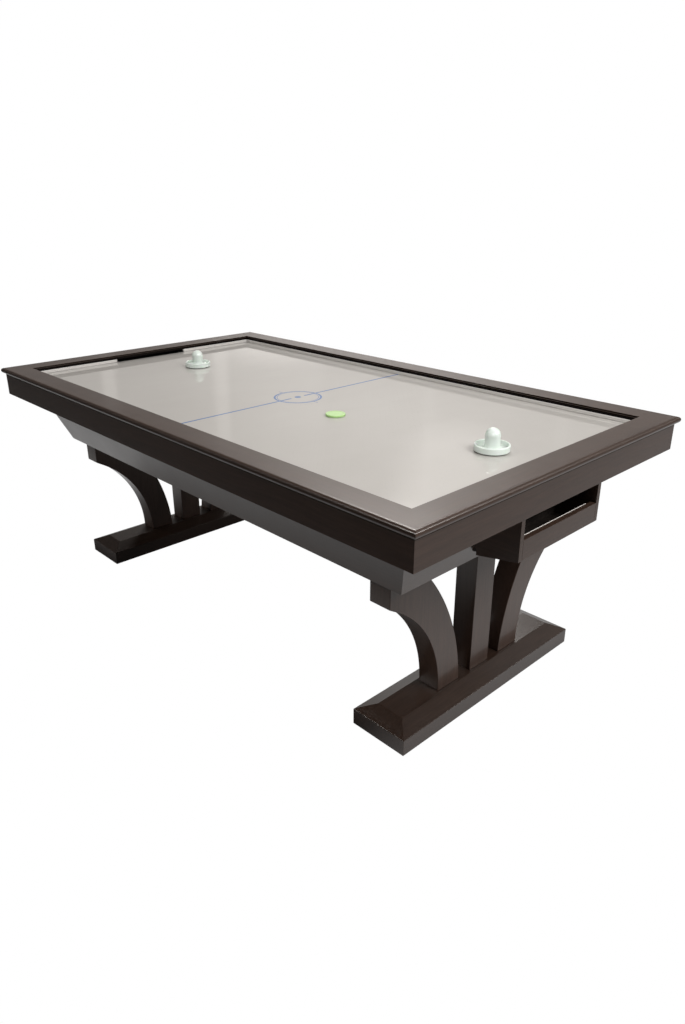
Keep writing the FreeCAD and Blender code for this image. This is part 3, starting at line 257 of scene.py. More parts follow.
def wood(name, grain, seed, dark, pale, rail=False, ledge=None):
    """Espresso-stained wood under clear lacquer, its grain running along one axis."""
    mat = Shader(name)

    def along_grain(squeeze):
        return tuple(squeeze if axis == grain else 1 for axis in "xyz")

    shift = tuple(seed * step for step in (0.373, 0.611, 0.829))
    wander = mat.noise(mat.place(offset=shift), scale=2.6, detail=2.0, colour=True)
    pull = mat.node("ShaderNodeVectorMath", operation="MULTIPLY_ADD")
    mat.put(pull.inputs[0], wander)
    pull.inputs[1].default_value = (0.03, 0.03, 0.03)
    mat.put(pull.inputs[2], mat.place(offset=shift))
    bent = pull.outputs[0]

    fibre = along_grain(0.045)
    streak = mat.noise(mat.place(fibre, source=bent), scale=150.0, detail=7.0, rough=0.62)
    board = mat.noise(mat.place(fibre, source=bent), scale=19.0)
    pores = mat.noise(
        mat.place(along_grain(0.0225), source=bent), scale=950.0, detail=2.0, rough=0.4
    )
    pore = mat.span(pores, over=(0.60, 0.72))
    streak_share, board_share, pore_share = 0.72, 0.28, 0.45
    tone = mat.plus(mat.times(streak, streak_share), mat.times(board, board_share))
    middle = tuple(0.5 * (low + high) for low, high in zip(dark, pale))
    colour = mat.ramp(tone, {0.34: dark, 0.52: middle, 0.68: pale})
    colour = mat.mix(mat.times(pore, pore_share), colour, darker(dark, 0.55))

    smudge = mat.noise(mat.place(offset=shift), scale=7.0, rough=0.55)
    ripple = mat.noise(mat.place(offset=shift), scale=38.0, detail=2.0, rough=0.4)
    shine, coat = WOOD_SHINE, WOOD_COAT
    if rail:
        colour, dull, crown = rail_finish(mat, colour)
        ripple = mat.plus(ripple, crown)
        shine = mat.affine(dull, times=-0.22, plus=WOOD_SHINE)
        coat = mat.affine(dull, times=-WOOD_COAT, plus=WOOD_COAT)
    elif ledge is not None:
        colour, dull = apron_ledge_dull_and_painted_shade(mat, colour, dark, ledge)
        shine = mat.affine(dull, times=-WOOD_SHINE, plus=WOOD_SHINE)
        coat = mat.affine(dull, times=-WOOD_COAT, plus=WOOD_COAT)

    smudge_rough, streak_relief = 0.12, 0.5
    relief = mat.minus(mat.times(streak, streak_relief), pore)
    mat.set(
        Base_Color=colour,
        Roughness=mat.plus(
            mat.times(smudge, smudge_rough), mat.affine(streak, times=0.06, plus=0.30)
        ),
        Specular_IOR_Level=shine,
        Coat_Weight=coat,
        Coat_Roughness=mat.affine(smudge, times=0.10, plus=0.07),
        Normal=mat.bump(relief, distance=0.00010, strength=0.22),
        Coat_Normal=mat.bump(ripple, distance=0.00010, strength=0.25),
    )
    return mat.material


# ------------------------------------------------------------------ other materials
def plain_board(name, dark, pale, rough):
    """Bare plywood or flat-stained board: soft grain along X and a fine tooth."""
    mat = Shader(name)
    fibre = (0.05, 1, 1)
    streak = mat.noise(mat.place(fibre), scale=120.0, detail=6.0, rough=0.6)
    wave = mat.noise(mat.place(fibre), scale=11.0, warp=0.8)
    streak_share, wave_share = 0.45, 0.55
    tone = mat.plus(mat.times(streak, streak_share), mat.times(wave, wave_share))
    tooth = mat.noise(scale=900.0, detail=2.0)
    relief = mat.affine(tooth, times=0.4, plus=streak)
    mat.set(
        Base_Color=mat.ramp(tone, {0.35: dark, 0.66: pale}),
        Roughness=mat.affine(streak, times=0.2, plus=rough - 0.1),
        Normal=mat.bump(relief, distance=0.00015, strength=0.4),
    )
    return mat.material


def printed_ink(mat, x, y, z):
    """Mask of the printed marks: a centre line along Y, two rings, a dot and two ticks."""
    blur = 0.0006
    width_x, width_y = mat.size(x), mat.size(y)
    radius = mat.calc("SQRT", mat.plus(mat.times(x, x), mat.times(y, y)))

    def inside(value, limit):
        return mat.span(value, over=(limit - blur, limit + blur), to=(1.0, 0.0))

    def band(value, middle, half):
        return inside(mat.size(mat.minus(value, middle)), half)

    line_gap = mat.minus(1.0, inside(radius, limit=0.030))
    ink = mat.times(inside(width_x, limit=0.0042), line_gap)
    for mark in (
        band(radius, middle=0.083, half=0.0036),
        band(radius, middle=0.0745, half=0.0012),
        inside(radius, limit=0.012),
        mat.times(band(width_x, middle=0.097, half=0.010), inside(width_y, limit=0.0016)),
    ):
        ink = mat.larger(ink, mark)
    top_face = mat.span(z, over=(0.7840, 0.7844))
    wear = mat.noise(scale=60.0, rough=0.6)
    return mat.times(mat.times(ink, top_face), mat.span(wear, over=(0.30, 0.52), to=(0.86, 1.0)))


def playing_surface(name):
    """Polished pale laminate with printed blue marks, over a brown core."""
    mat = Shader(name)
    x, y, z = mat.axes()
    mottle = mat.noise(scale=1.7, detail=4.0, rough=0.55)
    speck = mat.noise(scale=700.0, rough=0.6)
    base = mat.ramp(mottle, {0.30: (0.460, 0.440, 0.412), 0.70: (0.495, 0.475, 0.446)})
    specks = mat.span(speck, over=(0.45, 0.75), to=(0.0, 0.22))
    base = mat.mix(specks, base, (0.41, 0.395, 0.375))
    colour = mat.mix(printed_ink(mat, x, y, z), base, (0.030, 0.130, 0.370))
    layers = mat.noise(mat.place((1, 1, 12)), scale=90.0, detail=4.0)
    core = mat.ramp(layers, {0.3: (0.20, 0.15, 0.10), 0.7: (0.30, 0.235, 0.165)})
    laminate = mat.span(z, over=(0.7832, 0.7837))
    haze = mat.noise(mat.place((1, 0.25, 1)), scale=9.0, detail=5.0, rough=0.6)
    mat.set(
        Base_Color=mat.mix(laminate, core, colour),
        Roughness=mat.affine(haze, times=0.16, plus=0.36),
        Specular_IOR_Level=0.2,
        Coat_Weight=1.0,
        Coat_Roughness=mat.affine(haze, times=0.035, plus=0.012),
        Normal=mat.bump(speck, distance=0.00003, strength=0.25),
    )
    return mat.material


def moulded(
    name, dark, pale, rough, coat=0.0, inner=0.0, tooth_scale=1500.0, depth=0.00002, relief=0.15
):
    """Moulded plastic: clouded colour, satin skin, fine tooth; `inner` lets light into it."""
    mat = Shader(name)
    cloud = mat.noise(scale=24.0)
    tooth = mat.noise(scale=tooth_scale, detail=2.0)
    scuff = mat.noise(mat.place((1, 0.2, 1)), scale=160.0, detail=4.0, rough=0.65)
    mat.set(
        Base_Color=mat.ramp(cloud, {0.3: dark, 0.7: pale}),
        Roughness=mat.plus(
            mat.span(scuff, over=(0.45, 0.75), to=(0.0, 0.10)),
            mat.affine(cloud, times=0.06, plus=rough - 0.03),
        ),
        Coat_Weight=coat,
        Coat_Roughness=0.08,
        Normal=mat.bump(tooth, distance=depth, strength=relief),
    )
    if inner:
        mat.set(
            Subsurface_Weight=inner,
            Subsurface_Radius=(0.010, 0.012, 0.010),
            Subsurface_Scale=0.6,
        )
    return mat.material


def painted_metal(name, dark, pale, rough):
    mat = Shader(name)
    peel = mat.noise(scale=1400.0, detail=2.0)
    mat.set(
        Base_Color=mat.ramp(peel, {0.3: dark, 0.7: pale}),
        Roughness=mat.affine(peel, times=0.2, plus=rough - 0.1),
        Normal=mat.bump(peel, distance=0.0001, strength=0.5),
    )
    return mat.material


def brushed_metal(name, dark, pale, rough):
    """Bare metal brushed along X, with paler patches."""
    mat = Shader(name)
    line = mat.noise(mat.place((0.03, 1, 1)), scale=800.0, rough=0.6)
    patch_share = 0.5
    patch = mat.times(mat.cells(scale=60.0), patch_share)
    mat.set(
        Base_Color=mat.mix(patch, mat.ramp(line, {0.3: dark, 0.7: pale}), pale),
        Metallic=1.0,
        Roughness=mat.affine(line, times=0.16, plus=rough - 0.08),
        Normal=mat.bump(line, distance=0.00003, strength=0.3),
    )
    return mat.material


def felted(name, dark, pale):
    mat = Shader(name)
    fuzz = mat.noise(scale=1300.0, detail=5.0, rough=0.7)
    clump = mat.noise(scale=180.0, detail=4.0, rough=0.6)
    share = 0.5
    tone = mat.plus(mat.times(fuzz, share), mat.times(clump, share))
    mat.set(
        Base_Color=mat.ramp(tone, {0.3: dark, 0.7: pale}),
        Roughness=mat.affine(fuzz, times=0.1, plus=0.88),
        Sheen_Weight=0.5,
        Normal=mat.bump(fuzz, distance=0.0004, strength=0.7),
    )
    return mat.material


# material name: maker, dark and pale colours, further settings
LOOKS = {
    "plywood": (plain_board, (0.36, 0.235, 0.13), (0.60, 0.44, 0.28), dict(rough=0.6)),
    "dark_board": (
        plain_board, (0.014, 0.010, 0.008), (0.035, 0.025, 0.020), dict(rough=0.55)),
    "black_steel": (
        painted_metal, (0.012, 0.012, 0.012), (0.030, 0.030, 0.031), dict(rough=0.48)),
    "zinc_steel": (brushed_metal, (0.50, 0.51, 0.53), (0.72, 0.73, 0.75), dict(rough=0.30)),
    "blower_plastic": (
        moulded, (0.018, 0.018, 0.020), (0.032, 0.032, 0.035),
        dict(rough=0.55, depth=0.00008, relief=0.5)),
    "fan_plastic": (
        moulded, (0.44, 0.44, 0.42), (0.56, 0.56, 0.54),
        dict(rough=0.40, depth=0.00008, relief=0.2)),
    "motor_case": (painted_metal, (0.16, 0.17, 0.19), (0.22, 0.23, 0.25), dict(rough=0.42)),
    "switch_black": (
        moulded, (0.014, 0.014, 0.014), (0.028, 0.028, 0.028),
        dict(rough=0.42, depth=0.00008, relief=0.4)),
    "rocker_red": (
        moulded, (0.36, 0.018, 0.012), (0.48, 0.030, 0.020), dict(rough=0.25, coat=0.5)),
    "puck_lime": (
        moulded, (0.325, 0.530, 0.188), (0.370, 0.580, 0.222),
        dict(rough=0.33, coat=0.25, inner=0.15)),
    "striker_white": (
        moulded, (0.590, 0.645, 0.600), (0.628, 0.683, 0.638),
        dict(rough=0.30, coat=0.3, inner=0.35)),
    "cushion_strip": (
        moulded, (0.500, 0.478, 0.455), (0.520, 0.498, 0.475),
        dict(rough=0.72, tooth_scale=2200.0, relief=0.02)),
    # pale colour of the goal sill rods: a painted highlight on the goal fronts' inner top edges
    "sill_bead": (
        moulded, (0.62, 0.585, 0.55), (0.72, 0.69, 0.65), dict(rough=0.30, tooth_scale=900.0)),
    "felt": (felted, (0.030, 0.055, 0.040), (0.085, 0.13, 0.10), {}),
    "playing_surface": (playing_surface, {}),
}


@cache
def look(name):
    """The named material, made when it is first asked for."""
    maker, *colours, settings = LOOKS[name]
    return maker(name, *colours, **settings)


# ------------------------------------------------------------------ mesh helpers
def object_from(shape, name, material):
    mesh = bpy.data.meshes.new(name)
    shape.normal_update()
    shape.to_mesh(mesh)
    shape.free()
    obj = bpy.data.objects.new(name, mesh)
    scene.collection.objects.link(obj)
    mesh.materials.append(material)
    return obj


def smooth(obj, sharp=math.radians(32.0)):
    """Smooth shading, broken at edges sharper than an angle."""
    mesh = obj.data
    for poly in mesh.polygons:
        poly.use_smooth = True
    shape = bmesh.new()
    shape.from_mesh(mesh)
    for edge in shape.edges:
        if len(edge.link_faces) == 2 and edge.calc_face_angle(0.0) > sharp:
            edge.smooth = False
    shape.to_mesh(mesh)
    shape.free()
    modifier = obj.modifiers.new("Normals", "WEIGHTED_NORMAL")
    modifier.mode = "FACE_AREA"
    modifier.weight = 80
    modifier.keep_sharp = True
    return obj


def clean_copy(node):
    """The CAD node's mesh with its triangles merged back into flat faces."""
    shape = bmesh.new()
    shape.from_mesh(NODES[node].data)
    bmesh.ops.remove_doubles(shape, verts=shape.verts, dist=1e-6)
    bmesh.ops.dissolve_limit(
        shape, angle_limit=math.radians(0.6), use_dissolve_boundaries=False,
        verts=shape.verts, edges=shape.edges,
    )
    bmesh.ops.recalc_face_normals(shape, faces=shape.faces)
    return shape


def on_mitre(face):
    """True for an upright face cut at 45 degrees, where two boards meet at a corner."""
    normal = face.normal
    return abs(normal.z) < 0.02 and abs(abs(normal.x) - abs(normal.y)) < 0.05


def round_edges(shape, width, sharp):
    """Rounds outside corners sharper than an angle in degrees; mitre joints stay closed."""
    limit = math.radians(sharp)
    shape.normal_update()
    edges = [
        edge for edge in shape.edges
        if len(edge.link_faces) == 2 and edge.is_convex and edge.calc_face_angle(0.0) > limit
        and not any(on_mitre(face) for face in edge.link_faces)
    ]
    bmesh.ops.bevel(
        shape, geom=edges, offset=width, offset_type="OFFSET", segments=3, profile=0.5,
        affect="EDGES", clamp_overlap=True, loop_slide=True,
    )


def stand_in(obj, node):
    """Puts an object in the place of a CAD node."""
    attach(obj, BODY_OF[node])
    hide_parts(node)


def board_piece(node, material, width, sharp=25.0):
    shape = clean_copy(node)
    round_edges(shape, width, sharp)
    stand_in(smooth(object_from(shape, "shaped_" + node, material)), node)


# ------------------------------------------------------------------ woodwork
# node: grain axis, edge rounding in mm
WOODEN = {
    "side_rail_front": ("x", 0.5), "side_rail_back": ("x", 0.5),
    "end_rail_right": ("y", 0.5), "end_rail_left": ("y", 0.5),
    "side_apron_front": ("x", 0.3), "side_apron_back": ("x", 0.3),
    "end_apron_right": ("y", 0.3), "end_apron_left": ("y", 0.3),
    "cabinet_side_front": ("x", 1.0), "cabinet_side_back": ("x", 1.0),
    "cabinet_end_right": ("y", 1.0), "cabinet_end_left": ("y", 1.0),
    "goal_front_right": ("y", 0.8), "goal_front_left": ("y", 0.8),
    "goal_cheeks_right": ("x", 0.8), "goal_cheeks_left": ("x", 0.8),
    "foot_right": ("y", 1.6), "foot_left": ("y", 1.6),
    "post_right": ("z", 1.5), "post_left": ("z", 1.5),
    "leg_right_front": ("z", 2.0), "leg_right_back": ("z", 2.0),
    "leg_left_front": ("z", 2.0), "leg_left_back": ("z", 2.0),
}
for index, (node, (grain, width)) in enumerate(WOODEN.items()):
    is_foot = node.startswith("foot")
    # the feet take the darker stain: painted shade under the table
    finish = wood(
        "stained_" + node, grain, seed=1.7 * index + 0.4,
        **(FOOT_STAIN_WITH_PAINTED_SHADE if is_foot else STAIN),
        rail="_rail_" in node,
        ledge=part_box(node)[1].z if "_apron_" in node else None,
    )
    board_piece(node, finish, width * MM, sharp=15.0 if is_foot else 25.0)

# ------------------------------------------------------------------ cushion strips
for part in ("front", "back", "right_front", "right_back", "left_front", "left_back"):
    board_piece("cushion_" + part, look("cushion_strip"), 0.35 * MM)

# ------------------------------------------------------------------ playing surface
HOLE_PITCH = 0.0254
HOLE_RADIUS = 0.0008
HOLE_MARGIN = 0.040    # least distance from the outermost holes to the board's edge


def hole_grid(half):
    """The grid lines between the holes, along one axis of a board."""
    reach = int((half - HOLE_MARGIN) // HOLE_PITCH)
    return [(i - 0.5) * HOLE_PITCH for i in range(-reach, reach + 2)]


def perforated_board(node):
    """The playing surface with its full grid of air holes, drilled right through."""
    low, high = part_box(node)
    half_x, half_y, bottom, top = high.x, high.y, low.z, high.z
    shape = bmesh.new()
    store = {}

    def vert(x, y, z):
        key = (round(x * 1e6), round(y * 1e6), round(z * 1e6))
        if key not in store:
            store[key] = shape.verts.new((x, y, z))
        return store[key]

    def flat(points, z, forward):
        ordered = points if forward else points[::-1]
        shape.faces.new([vert(x, y, z) for x, y in ordered])

    def upright(start, end, first_z, second_z):
        corners = [(*start, first_z), (*end, first_z), (*end, second_z), (*start, second_z)]
        shape.faces.new([vert(*corner) for corner in corners])

    # where the goal slots are cut into the ends, from the CAD mesh
    spots = [v.co for v in NODES[node].data.vertices]
    end_xs = sorted({round(spot.x, 6) for spot in spots if spot.x > 0.99})
    notch_x = next(x for x in end_xs if abs(x - half_x) > 1e-4)
    notch_y = min(abs(spot.y) for spot in spots if spot.x > half_x - 1e-5)

    grid_x, grid_y = hole_grid(half_x), hole_grid(half_y)
    angles = [math.radians(22.5 + 45 * k) for k in range(8)]
    octagon = [(HOLE_RADIUS * math.cos(a), HOLE_RADIUS * math.sin(a)) for a in angles]
    cells = []    # the corners of each grid cell and its hole's outline
    for x0, x1 in zip(grid_x, grid_x[1:]):
        for y0, y1 in zip(grid_y, grid_y[1:]):
            middle_x, middle_y = (x0 + x1) / 2, (y0 + y1) / 2
            hole = [(middle_x + x, middle_y + y) for x, y in octagon]
            cells.append(([(x1, y1), (x0, y1), (x0, y0), (x1, y0)], hole))

    for z, up in ((top, True), (bottom, False)):
        for corners, hole in cells:
            # corner q faces the octagon's side from point 2q to point 2q + 1
            for q in range(4):
                turn, corner = hole[2 * q + 1], corners[q]
                side = [turn, hole[(2 * q + 2) % 8], corners[(q + 1) % 4], corner]
                flat(side, z, not up)
                flat([hole[2 * q], turn, corner], z, not up)
        # frame between the hole grid and the board's outline
        for x0, x1 in zip(grid_x, grid_x[1:]):
            for inner, outer in ((grid_y[0], -half_y), (grid_y[-1], half_y)):
                strip = [(x0, inner), (x1, inner), (x1, outer), (x0, outer)]
                flat(strip, z, (outer > 0) == up)
        for side, inner in ((1, grid_x[-1]), (-1, grid_x[0])):
            outer, notch = side * half_x, side * notch_x
            points = [
                (inner, half_y), (outer, half_y), (outer, notch_y), (notch, notch_y),
                (notch, -notch_y), (outer, -notch_y), (outer, -half_y), (inner, -half_y),
            ]
            points += [(inner, y) for y in grid_y]
            flat(points, z, (side > 0) != up)

    rim = [(x, -half_y) for x in grid_x]
    rim += [
        (half_x, -half_y), (half_x, -notch_y), (notch_x, -notch_y),
        (notch_x, notch_y), (half_x, notch_y), (half_x, half_y),
    ]
    rim += [(x, half_y) for x in reversed(grid_x)]
    rim += [
        (-half_x, half_y), (-half_x, notch_y), (-notch_x, notch_y),
        (-notch_x, -notch_y), (-half_x, -notch_y), (-half_x, -half_y),
    ]
    for start, end in zip(rim, rim[1:] + rim[:1]):
        upright(start, end, bottom, top)
    for _, hole in cells:
        for start, end in zip(hole, hole[1:] + hole[:1]):
            upright(start, end, top, bottom)
    bmesh.ops.recalc_face_normals(shape, faces=shape.faces)
    return object_from(shape, "shaped_" + node, look("playing_surface"))


stand_in(perforated_board("playfield"), "playfield")


# ------------------------------------------------------------------ round pieces
def round_piece(name, stations, place, material, steps):
    """Skins circles given as (radius, distance along the axis).

    `place` turns a circle's two coordinates and its distance into a point.
    """
    shape = bmesh.new()
    rings = []
    for radius, along in stations:
        count = steps if radius > 0 else 1
        angles = [2 * math.pi * k / steps for k in range(count)]
        rings.append([
            shape.verts.new(place(radius * math.cos(a), radius * math.sin(a), along))
            for a in angles
        ])
    for ring, after in zip(rings, rings[1:]):
        for k in range(steps):
            n = (k + 1) % steps
            if len(ring) == 1:
                shape.faces.new((ring[0], after[n], after[k]))
            elif len(after) == 1:
                shape.faces.new((ring[k], ring[n], after[0]))
            else:
                shape.faces.new((ring[k], ring[n], after[n], after[k]))
    bmesh.ops.recalc_face_normals(shape, faces=shape.faces)
    return smooth(object_from(shape, name, material))


def lathe(node, outline, centre, steps):
    """Turns a closed (radius, height) outline in mm about an upright axis, for a CAD node."""
    stations = [(radius * MM, height * MM) for radius, height in outline]

    def place(x, y, z):
        return centre[0] + x, centre[1] + y, centre[2] + z

    material = look(SLOT_LOOKS[node.split("_")[0]])
    stand_in(round_piece("turned_" + node, stations, place, material, steps), node)


def rounded(points, steps):
    """Rounds the corners of an open outline of (radius, height, corner size)."""
    outline = [points[0][:2]]
    for before, point, after in zip(points, points[1:], points[2:]):
        corner = Vector(point[:2])
        back, ahead = Vector(before[:2]) - corner, Vector(after[:2]) - corner
        size = min(point[2], 0.48 * back.length, 0.48 * ahead.length)
        start = corner + back.normalized() * size
        end = corner + ahead.normalized() * size
        for k in range(steps + 1):
            t = k / steps
            spot = (1 - t) ** 2 * start + 2 * t * (1 - t) * corner + t * t * end
            outline.append((spot.x, spot.y))
    outline.append(points[-1][:2])
    return outline


# material of each turned piece, by the first word of its node
SLOT_LOOKS = {"striker": "striker_white", "felt": "felt", "puck": "puck_lime"}

# strikers, felt pads and puck, in mm
STRIKER_RADIUS = 51.6
STRIKER_HEIGHT = 67.5
RIM_HEIGHT = 20.5
DISH_HEIGHT = 6.5
KNOB_RADIUS = 22.3
KNOB_CENTRE = STRIKER_HEIGHT - KNOB_RADIUS
NECK_RADIUS = KNOB_RADIUS - 0.5
FELT_RADIUS = 48.6
FELT_THICKNESS = 1.5
PUCK_RADIUS = 32.8
PUCK_THICKNESS = 6.4

# radius, height, corner size
STRIKER_BODY = [
    (0.0, FELT_THICKNESS, 0),
    (STRIKER_RADIUS - 1.5, FELT_THICKNESS, 0.5),
    (STRIKER_RADIUS, FELT_THICKNESS + 1.5, 0.8),
    (STRIKER_RADIUS, RIM_HEIGHT - 2.0, 1.0),
    (STRIKER_RADIUS - 2.0, RIM_HEIGHT, 1.0),
    (STRIKER_RADIUS - 4.0, RIM_HEIGHT, 1.0),
    (STRIKER_RADIUS - 6.0, RIM_HEIGHT - 2.0, 1.2),
    (STRIKER_RADIUS - 7.0, DISH_HEIGHT + 2.0, 2.0),
    (STRIKER_RADIUS - 9.5, DISH_HEIGHT, 2.0),
    (NECK_RADIUS + 8.0, DISH_HEIGHT, 2.4),
    (NECK_RADIUS + 2.2, DISH_HEIGHT + 3.0, 2.2),
    (NECK_RADIUS, 17.0, 3.0),
    (NECK_RADIUS, KNOB_CENTRE - 9.0, 5.0),
    (KNOB_RADIUS, KNOB_CENTRE, 0),
]
FELT_PAD = [
    (0, 0, 0),
    (FELT_RADIUS - 0.4, 0, 0.3),
    (FELT_RADIUS, 0.4, 0.2),
    (FELT_RADIUS, FELT_THICKNESS, 0.05),
    (0, FELT_THICKNESS, 0),
]
PUCK = [
    (0, 0, 0),
    (PUCK_RADIUS - 0.8, 0, 0.5),
    (PUCK_RADIUS, 0.8, 0.6),
    (PUCK_RADIUS, PUCK_THICKNESS - 0.8, 0.6),
    (PUCK_RADIUS - 0.8, PUCK_THICKNESS, 0.5),
    (PUCK_RADIUS - 5.0, PUCK_THICKNESS, 0.4),
    (PUCK_RADIUS - 5.6, PUCK_THICKNESS - 0.6, 0.3),
    (0, PUCK_THICKNESS - 0.6, 0),
]
KNOB_DOME = [
    (KNOB_RADIUS * math.cos(math.radians(a)), KNOB_CENTRE + KNOB_RADIUS * math.sin(math.radians(a)))
    for a in range(6, 90, 6)
]
striker_outline = rounded(STRIKER_BODY, steps=5) + KNOB_DOME + [(0.0, STRIKER_HEIGHT)]

felt_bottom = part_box("felt_right")[0].z
for end in END_SIDES:
    low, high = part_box("striker_" + end)
    centre = ((low.x + high.x) / 2, (low.y + high.y) / 2, felt_bottom)
    lathe("striker_" + end, striker_outline, centre, steps=160)
    lathe("felt_" + end, rounded(FELT_PAD, steps=3), centre, steps=128)

low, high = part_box("puck")
centre = ((low.x + high.x) / 2, (low.y + high.y) / 2, low.z)
lathe("puck", rounded(PUCK, steps=4), centre, steps=144)

# ------------------------------------------------------------------ goal sill beads, pale as a painted highlight
BEAD_RADIUS = 0.0011
BEAD_OFFSET = 0.0002    # the bead's axis past the goal front's inner top edge, in X and Z
BEAD_GAPS = (0.002, 0.026)    # from the ends of the goal front to the bead's two ends
DOME_STEPS = 5


def sill_bead(end, side):
    """A thin pale rod with domed ends, lying along Y on the goal front's inner top edge; its pale
    colour is a painted highlight along that edge.
    """
    low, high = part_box("goal_front_" + end)
    axis_x = side * (min(abs(low.x), abs(high.x)) + BEAD_OFFSET)
    axis_z = high.z + BEAD_OFFSET
    start, stop = -side * (high.y - BEAD_GAPS[0]), side * (high.y - BEAD_GAPS[1])
    angles = [math.pi / 2 * k / DOME_STEPS for k in range(DOME_STEPS + 1)]
    dome = [(BEAD_RADIUS * math.sin(a), side * BEAD_RADIUS * math.cos(a)) for a in angles]
    stations = [(radius, start - along) for radius, along in dome]
    stations += [(radius, stop + along) for radius, along in reversed(dome)]

    def place(across, up, y):
        return axis_x + across, y, axis_z + up

    rod = round_piece("sill_bead_" + end, stations, place, look("sill_bead"), steps=16)
    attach(rod, BODY_OF["goal_front_" + end])


for end, side in END_SIDES.items():
    sill_bead(end, side)

# ------------------------------------------------------------------ parts kept as the CAD made them
for node, obj in NODES.items():
    if obj.hide_render:
        continue
    obj.data.materials.clear()
    obj.data.materials.append(look(SLOT_OF[node]))


# ------------------------------------------------------------------ floor
def floor_material():
    """White to the camera; as a light it is dim under the table and beyond -Y."""
    material = new_material("studio_floor")
    mat = Graph(material.node_tree)
    x, y, _ = mat.axes()
    dim = 0.07
    clear_x = mat.larger(
        mat.span(x, over=(0.68, 1.02)), mat.span(x, over=(-1.40, -1.00), to=(1.0, 0.0))
    )
    clear_y = mat.span(mat.size(y), over=(0.40, 0.78))
    open_floor = mat.times(
        mat.span(y, over=(-1.20, -0.82), to=(dim, 1.0)),
        mat.span(x, over=(1.0, 2.2), to=(0.84, 0.42)),
    )
    level = mat.affine(mat.larger(clear_x, clear_y), times=mat.minus(open_floor, dim), plus=dim)
    mat.emit("ShaderNodeEmission", [level] * 3)
    return material


def stage_floor(half=15, steps=24):
    material = floor_material()
    shape = bmesh.new()
    marks = [-half + 2 * half * i / steps for i in range(steps + 1)]
    rows = [[shape.verts.new((x, y, 0.0)) for y in marks] for x in marks]
    for row, after in zip(rows, rows[1:]):
        for j in range(steps):
            shape.faces.new((row[j], after[j], after[j + 1], row[j + 1]))
    object_from(shape, "studio_floor", material)


stage_floor()


# ------------------------------------------------------------------ sky
def lobe(sky, azimuth, elevation, width, amount, core=0.25):
    """A soft round patch of light; angles in degrees, core is its full-strength share."""
    turn, tilt = math.radians(azimuth), math.radians(elevation)
    aim = (math.cos(turn) * math.cos(tilt), math.sin(turn) * math.cos(tilt), math.sin(tilt))
    dot = sky.node("ShaderNodeVectorMath", operation="DOT_PRODUCT")
    sky.put(dot.inputs[0], sky.space)
    dot.inputs[1].default_value = aim
    limits = (math.cos(math.radians(width)), math.cos(math.radians(width * core)))
    return sky.span(dot.outputs["Value"], over=limits, to=(0.0, amount))


# azimuth, half width, brightness of the faint upright streaks
STREAKS = ((153.8, 0.75, 0.22), (145.6, 0.85, 0.20), (129.5, 0.6, 0.09), (119.4, 0.6, 0.08))
# azimuth, elevation, width, brightness, core share where it isn't the default
LOBES = (
    (127, 21, 6, 0.5),
    (227, 36, 6, 40.0, 0.3),    # draws the line along the bullnose at -Y
    (51, 29, 6, 24.0, 0.2),     # the same for the bullnose at +X
    (58, 29, 12, 1.2, 0.4),
    (70, 42, 35, 0.45),
)
SKY_BASE = 0.035
SKY_TINT = (1.0, 0.955, 0.915)


def build_sky():
    world = bpy.data.worlds.new("studio")
    scene.world = world
    world.use_nodes = True
    sky = Graph(world.node_tree, output="ShaderNodeOutputWorld", space="Generated")
    x, y, z = sky.axes()
    azimuth = sky.times(sky.calc("ARCTAN2", y, x), math.degrees(1.0))
    height = sky.times(sky.calc("ARCSINE", z), math.degrees(1.0))
    # a broad low band, with a brighter wall near the horizon
    band = sky.times(
        sky.span(azimuth, over=(92, 112), to=(0.06, 0.45)),
        sky.span(azimuth, over=(141, 151), to=(1.0, 0.62)),
    )
    band = sky.times(band, sky.span(height, over=(13, 24), to=(1.0, 0.15)))
    wall = sky.times(
        sky.span(azimuth, over=(116, 125)), sky.span(azimuth, over=(141, 150), to=(1.0, 0.0))
    )
    wall = sky.times(wall, sky.span(height, over=(10.0, 12.5), to=(0.52, 0.0)))
    level = sky.plus(sky.plus(band, wall), SKY_BASE)
    # the edges of a few soft panels, seen only as faint upright streaks in the polish
    panels = sky.span(azimuth, over=(137.3, 138.3), to=(0.0, 0.08))
    for where, half, amount in STREAKS:
        away = sky.size(sky.minus(azimuth, where))
        panels = sky.plus(panels, sky.span(away, over=(0.2, half), to=(amount, 0.0)))
    panels = sky.times(panels, sky.span(height, over=(21, 24), to=(1.0, 0.0)))
    level = sky.plus(level, panels)
    # brighter overhead, darker towards -Y
    level = sky.plus(level, sky.span(z, over=(0.60, 0.98), to=(0.0, 0.15)))
    level = sky.times(level, sky.span(y, over=(-0.75, 0.15), to=(0.45, 1.0)))
    lamp = lobe(sky, azimuth=135, elevation=27, width=9, amount=4.0)
    level = sky.plus(level, sky.times(lamp, sky.span(height, over=(21.5, 25))))
    # a long lamp that draws bright lines where the rails' tops turn over into the bullnose
    tube = sky.times(
        sky.span(azimuth, over=(115, 130), to=(0.0, 30.0)),
        sky.span(azimuth, over=(137, 143), to=(1.0, 0.0)),
    )
    tube_height = sky.times(
        sky.span(height, over=(32, 34)), sky.span(height, over=(36, 38), to=(1.0, 0.0))
    )
    level = sky.plus(level, sky.times(tube, tube_height))
    for patch in LOBES:
        level = sky.plus(level, lobe(sky, *patch))
    sky.emit("ShaderNodeBackground", [sky.times(level, tint) for tint in SKY_TINT])


build_sky()


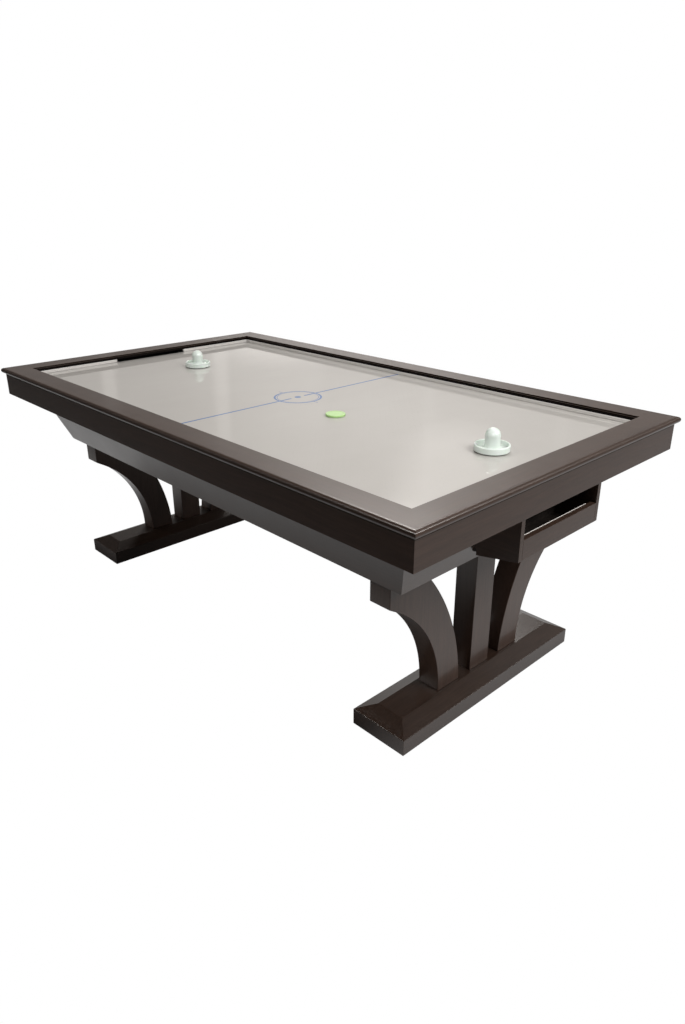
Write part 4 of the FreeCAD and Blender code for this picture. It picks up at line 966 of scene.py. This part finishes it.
# ------------------------------------------------------------------ lamps
def softbox(name, place, aim, size, watts):
    data = bpy.data.lights.new(name, "AREA")
    data.shape = "RECTANGLE"
    data.size, data.size_y = size
    data.energy = watts
    lamp = bpy.data.objects.new(name, data)
    scene.collection.objects.link(lamp)
    lamp.location = place
    lamp.rotation_euler = (Vector(aim) - Vector(place)).to_track_quat("-Z", "Y").to_euler()
    return lamp


softbox("key", place=(3.6, 0.5, 3.3), aim=(0.3, 0.0, 0.7), size=(1.8, 1.5), watts=130)
overhead = softbox(
    "overhead", place=(-0.7, 0.6, 3.0), aim=(-0.4, 0.1, 0.8), size=(3.4, 1.3), watts=22
)
overhead.visible_glossy = False
fill = softbox("fill", place=(2.6, -2.4, 2.6), aim=(0.0, 0.0, 0.8), size=(2.8, 2.4), watts=84)
# the fill lights only the turned pieces and the cushions
lifted = bpy.data.collections.new("lifted_by_fill")
for piece in scene.objects:
    if piece.name.startswith(("turned_", "shaped_cushion_")):
        lifted.objects.link(piece)
fill.light_linking.receiver_collection = lifted

# ------------------------------------------------------------------ camera
CAMERA_PLACE = (2.00925, -1.70005, 1.45228)
CAMERA_AZIMUTH = math.radians(46.468)    # from -Y towards +X
CAMERA_ELEVATION = math.radians(22.093)
CAMERA_ROLL = math.radians(-0.116)

camera = bpy.data.objects.new("camera", bpy.data.cameras.new("camera"))
scene.collection.objects.link(camera)
camera.location = CAMERA_PLACE
backward = Vector((
    math.sin(CAMERA_AZIMUTH) * math.cos(CAMERA_ELEVATION),
    -math.cos(CAMERA_AZIMUTH) * math.cos(CAMERA_ELEVATION),
    math.sin(CAMERA_ELEVATION),
))
aim = (-backward).to_track_quat("-Z", "Y")
camera.rotation_mode = "QUATERNION"
camera.rotation_quaternion = aim @ Matrix.Rotation(CAMERA_ROLL, 4, "Z").to_quaternion()
camera.data.lens = 26.36321484
camera.data.sensor_width = 36.0
camera.data.shift_x = 0.0021
camera.data.shift_y = -0.0116
camera.data.clip_start, camera.data.clip_end = 0.05, 60.0
scene.camera = camera

scene.view_settings.view_transform = "Standard"
scene.view_settings.look = "None"
scene.view_settings.exposure = 0.0
scene.view_settings.gamma = 1.0
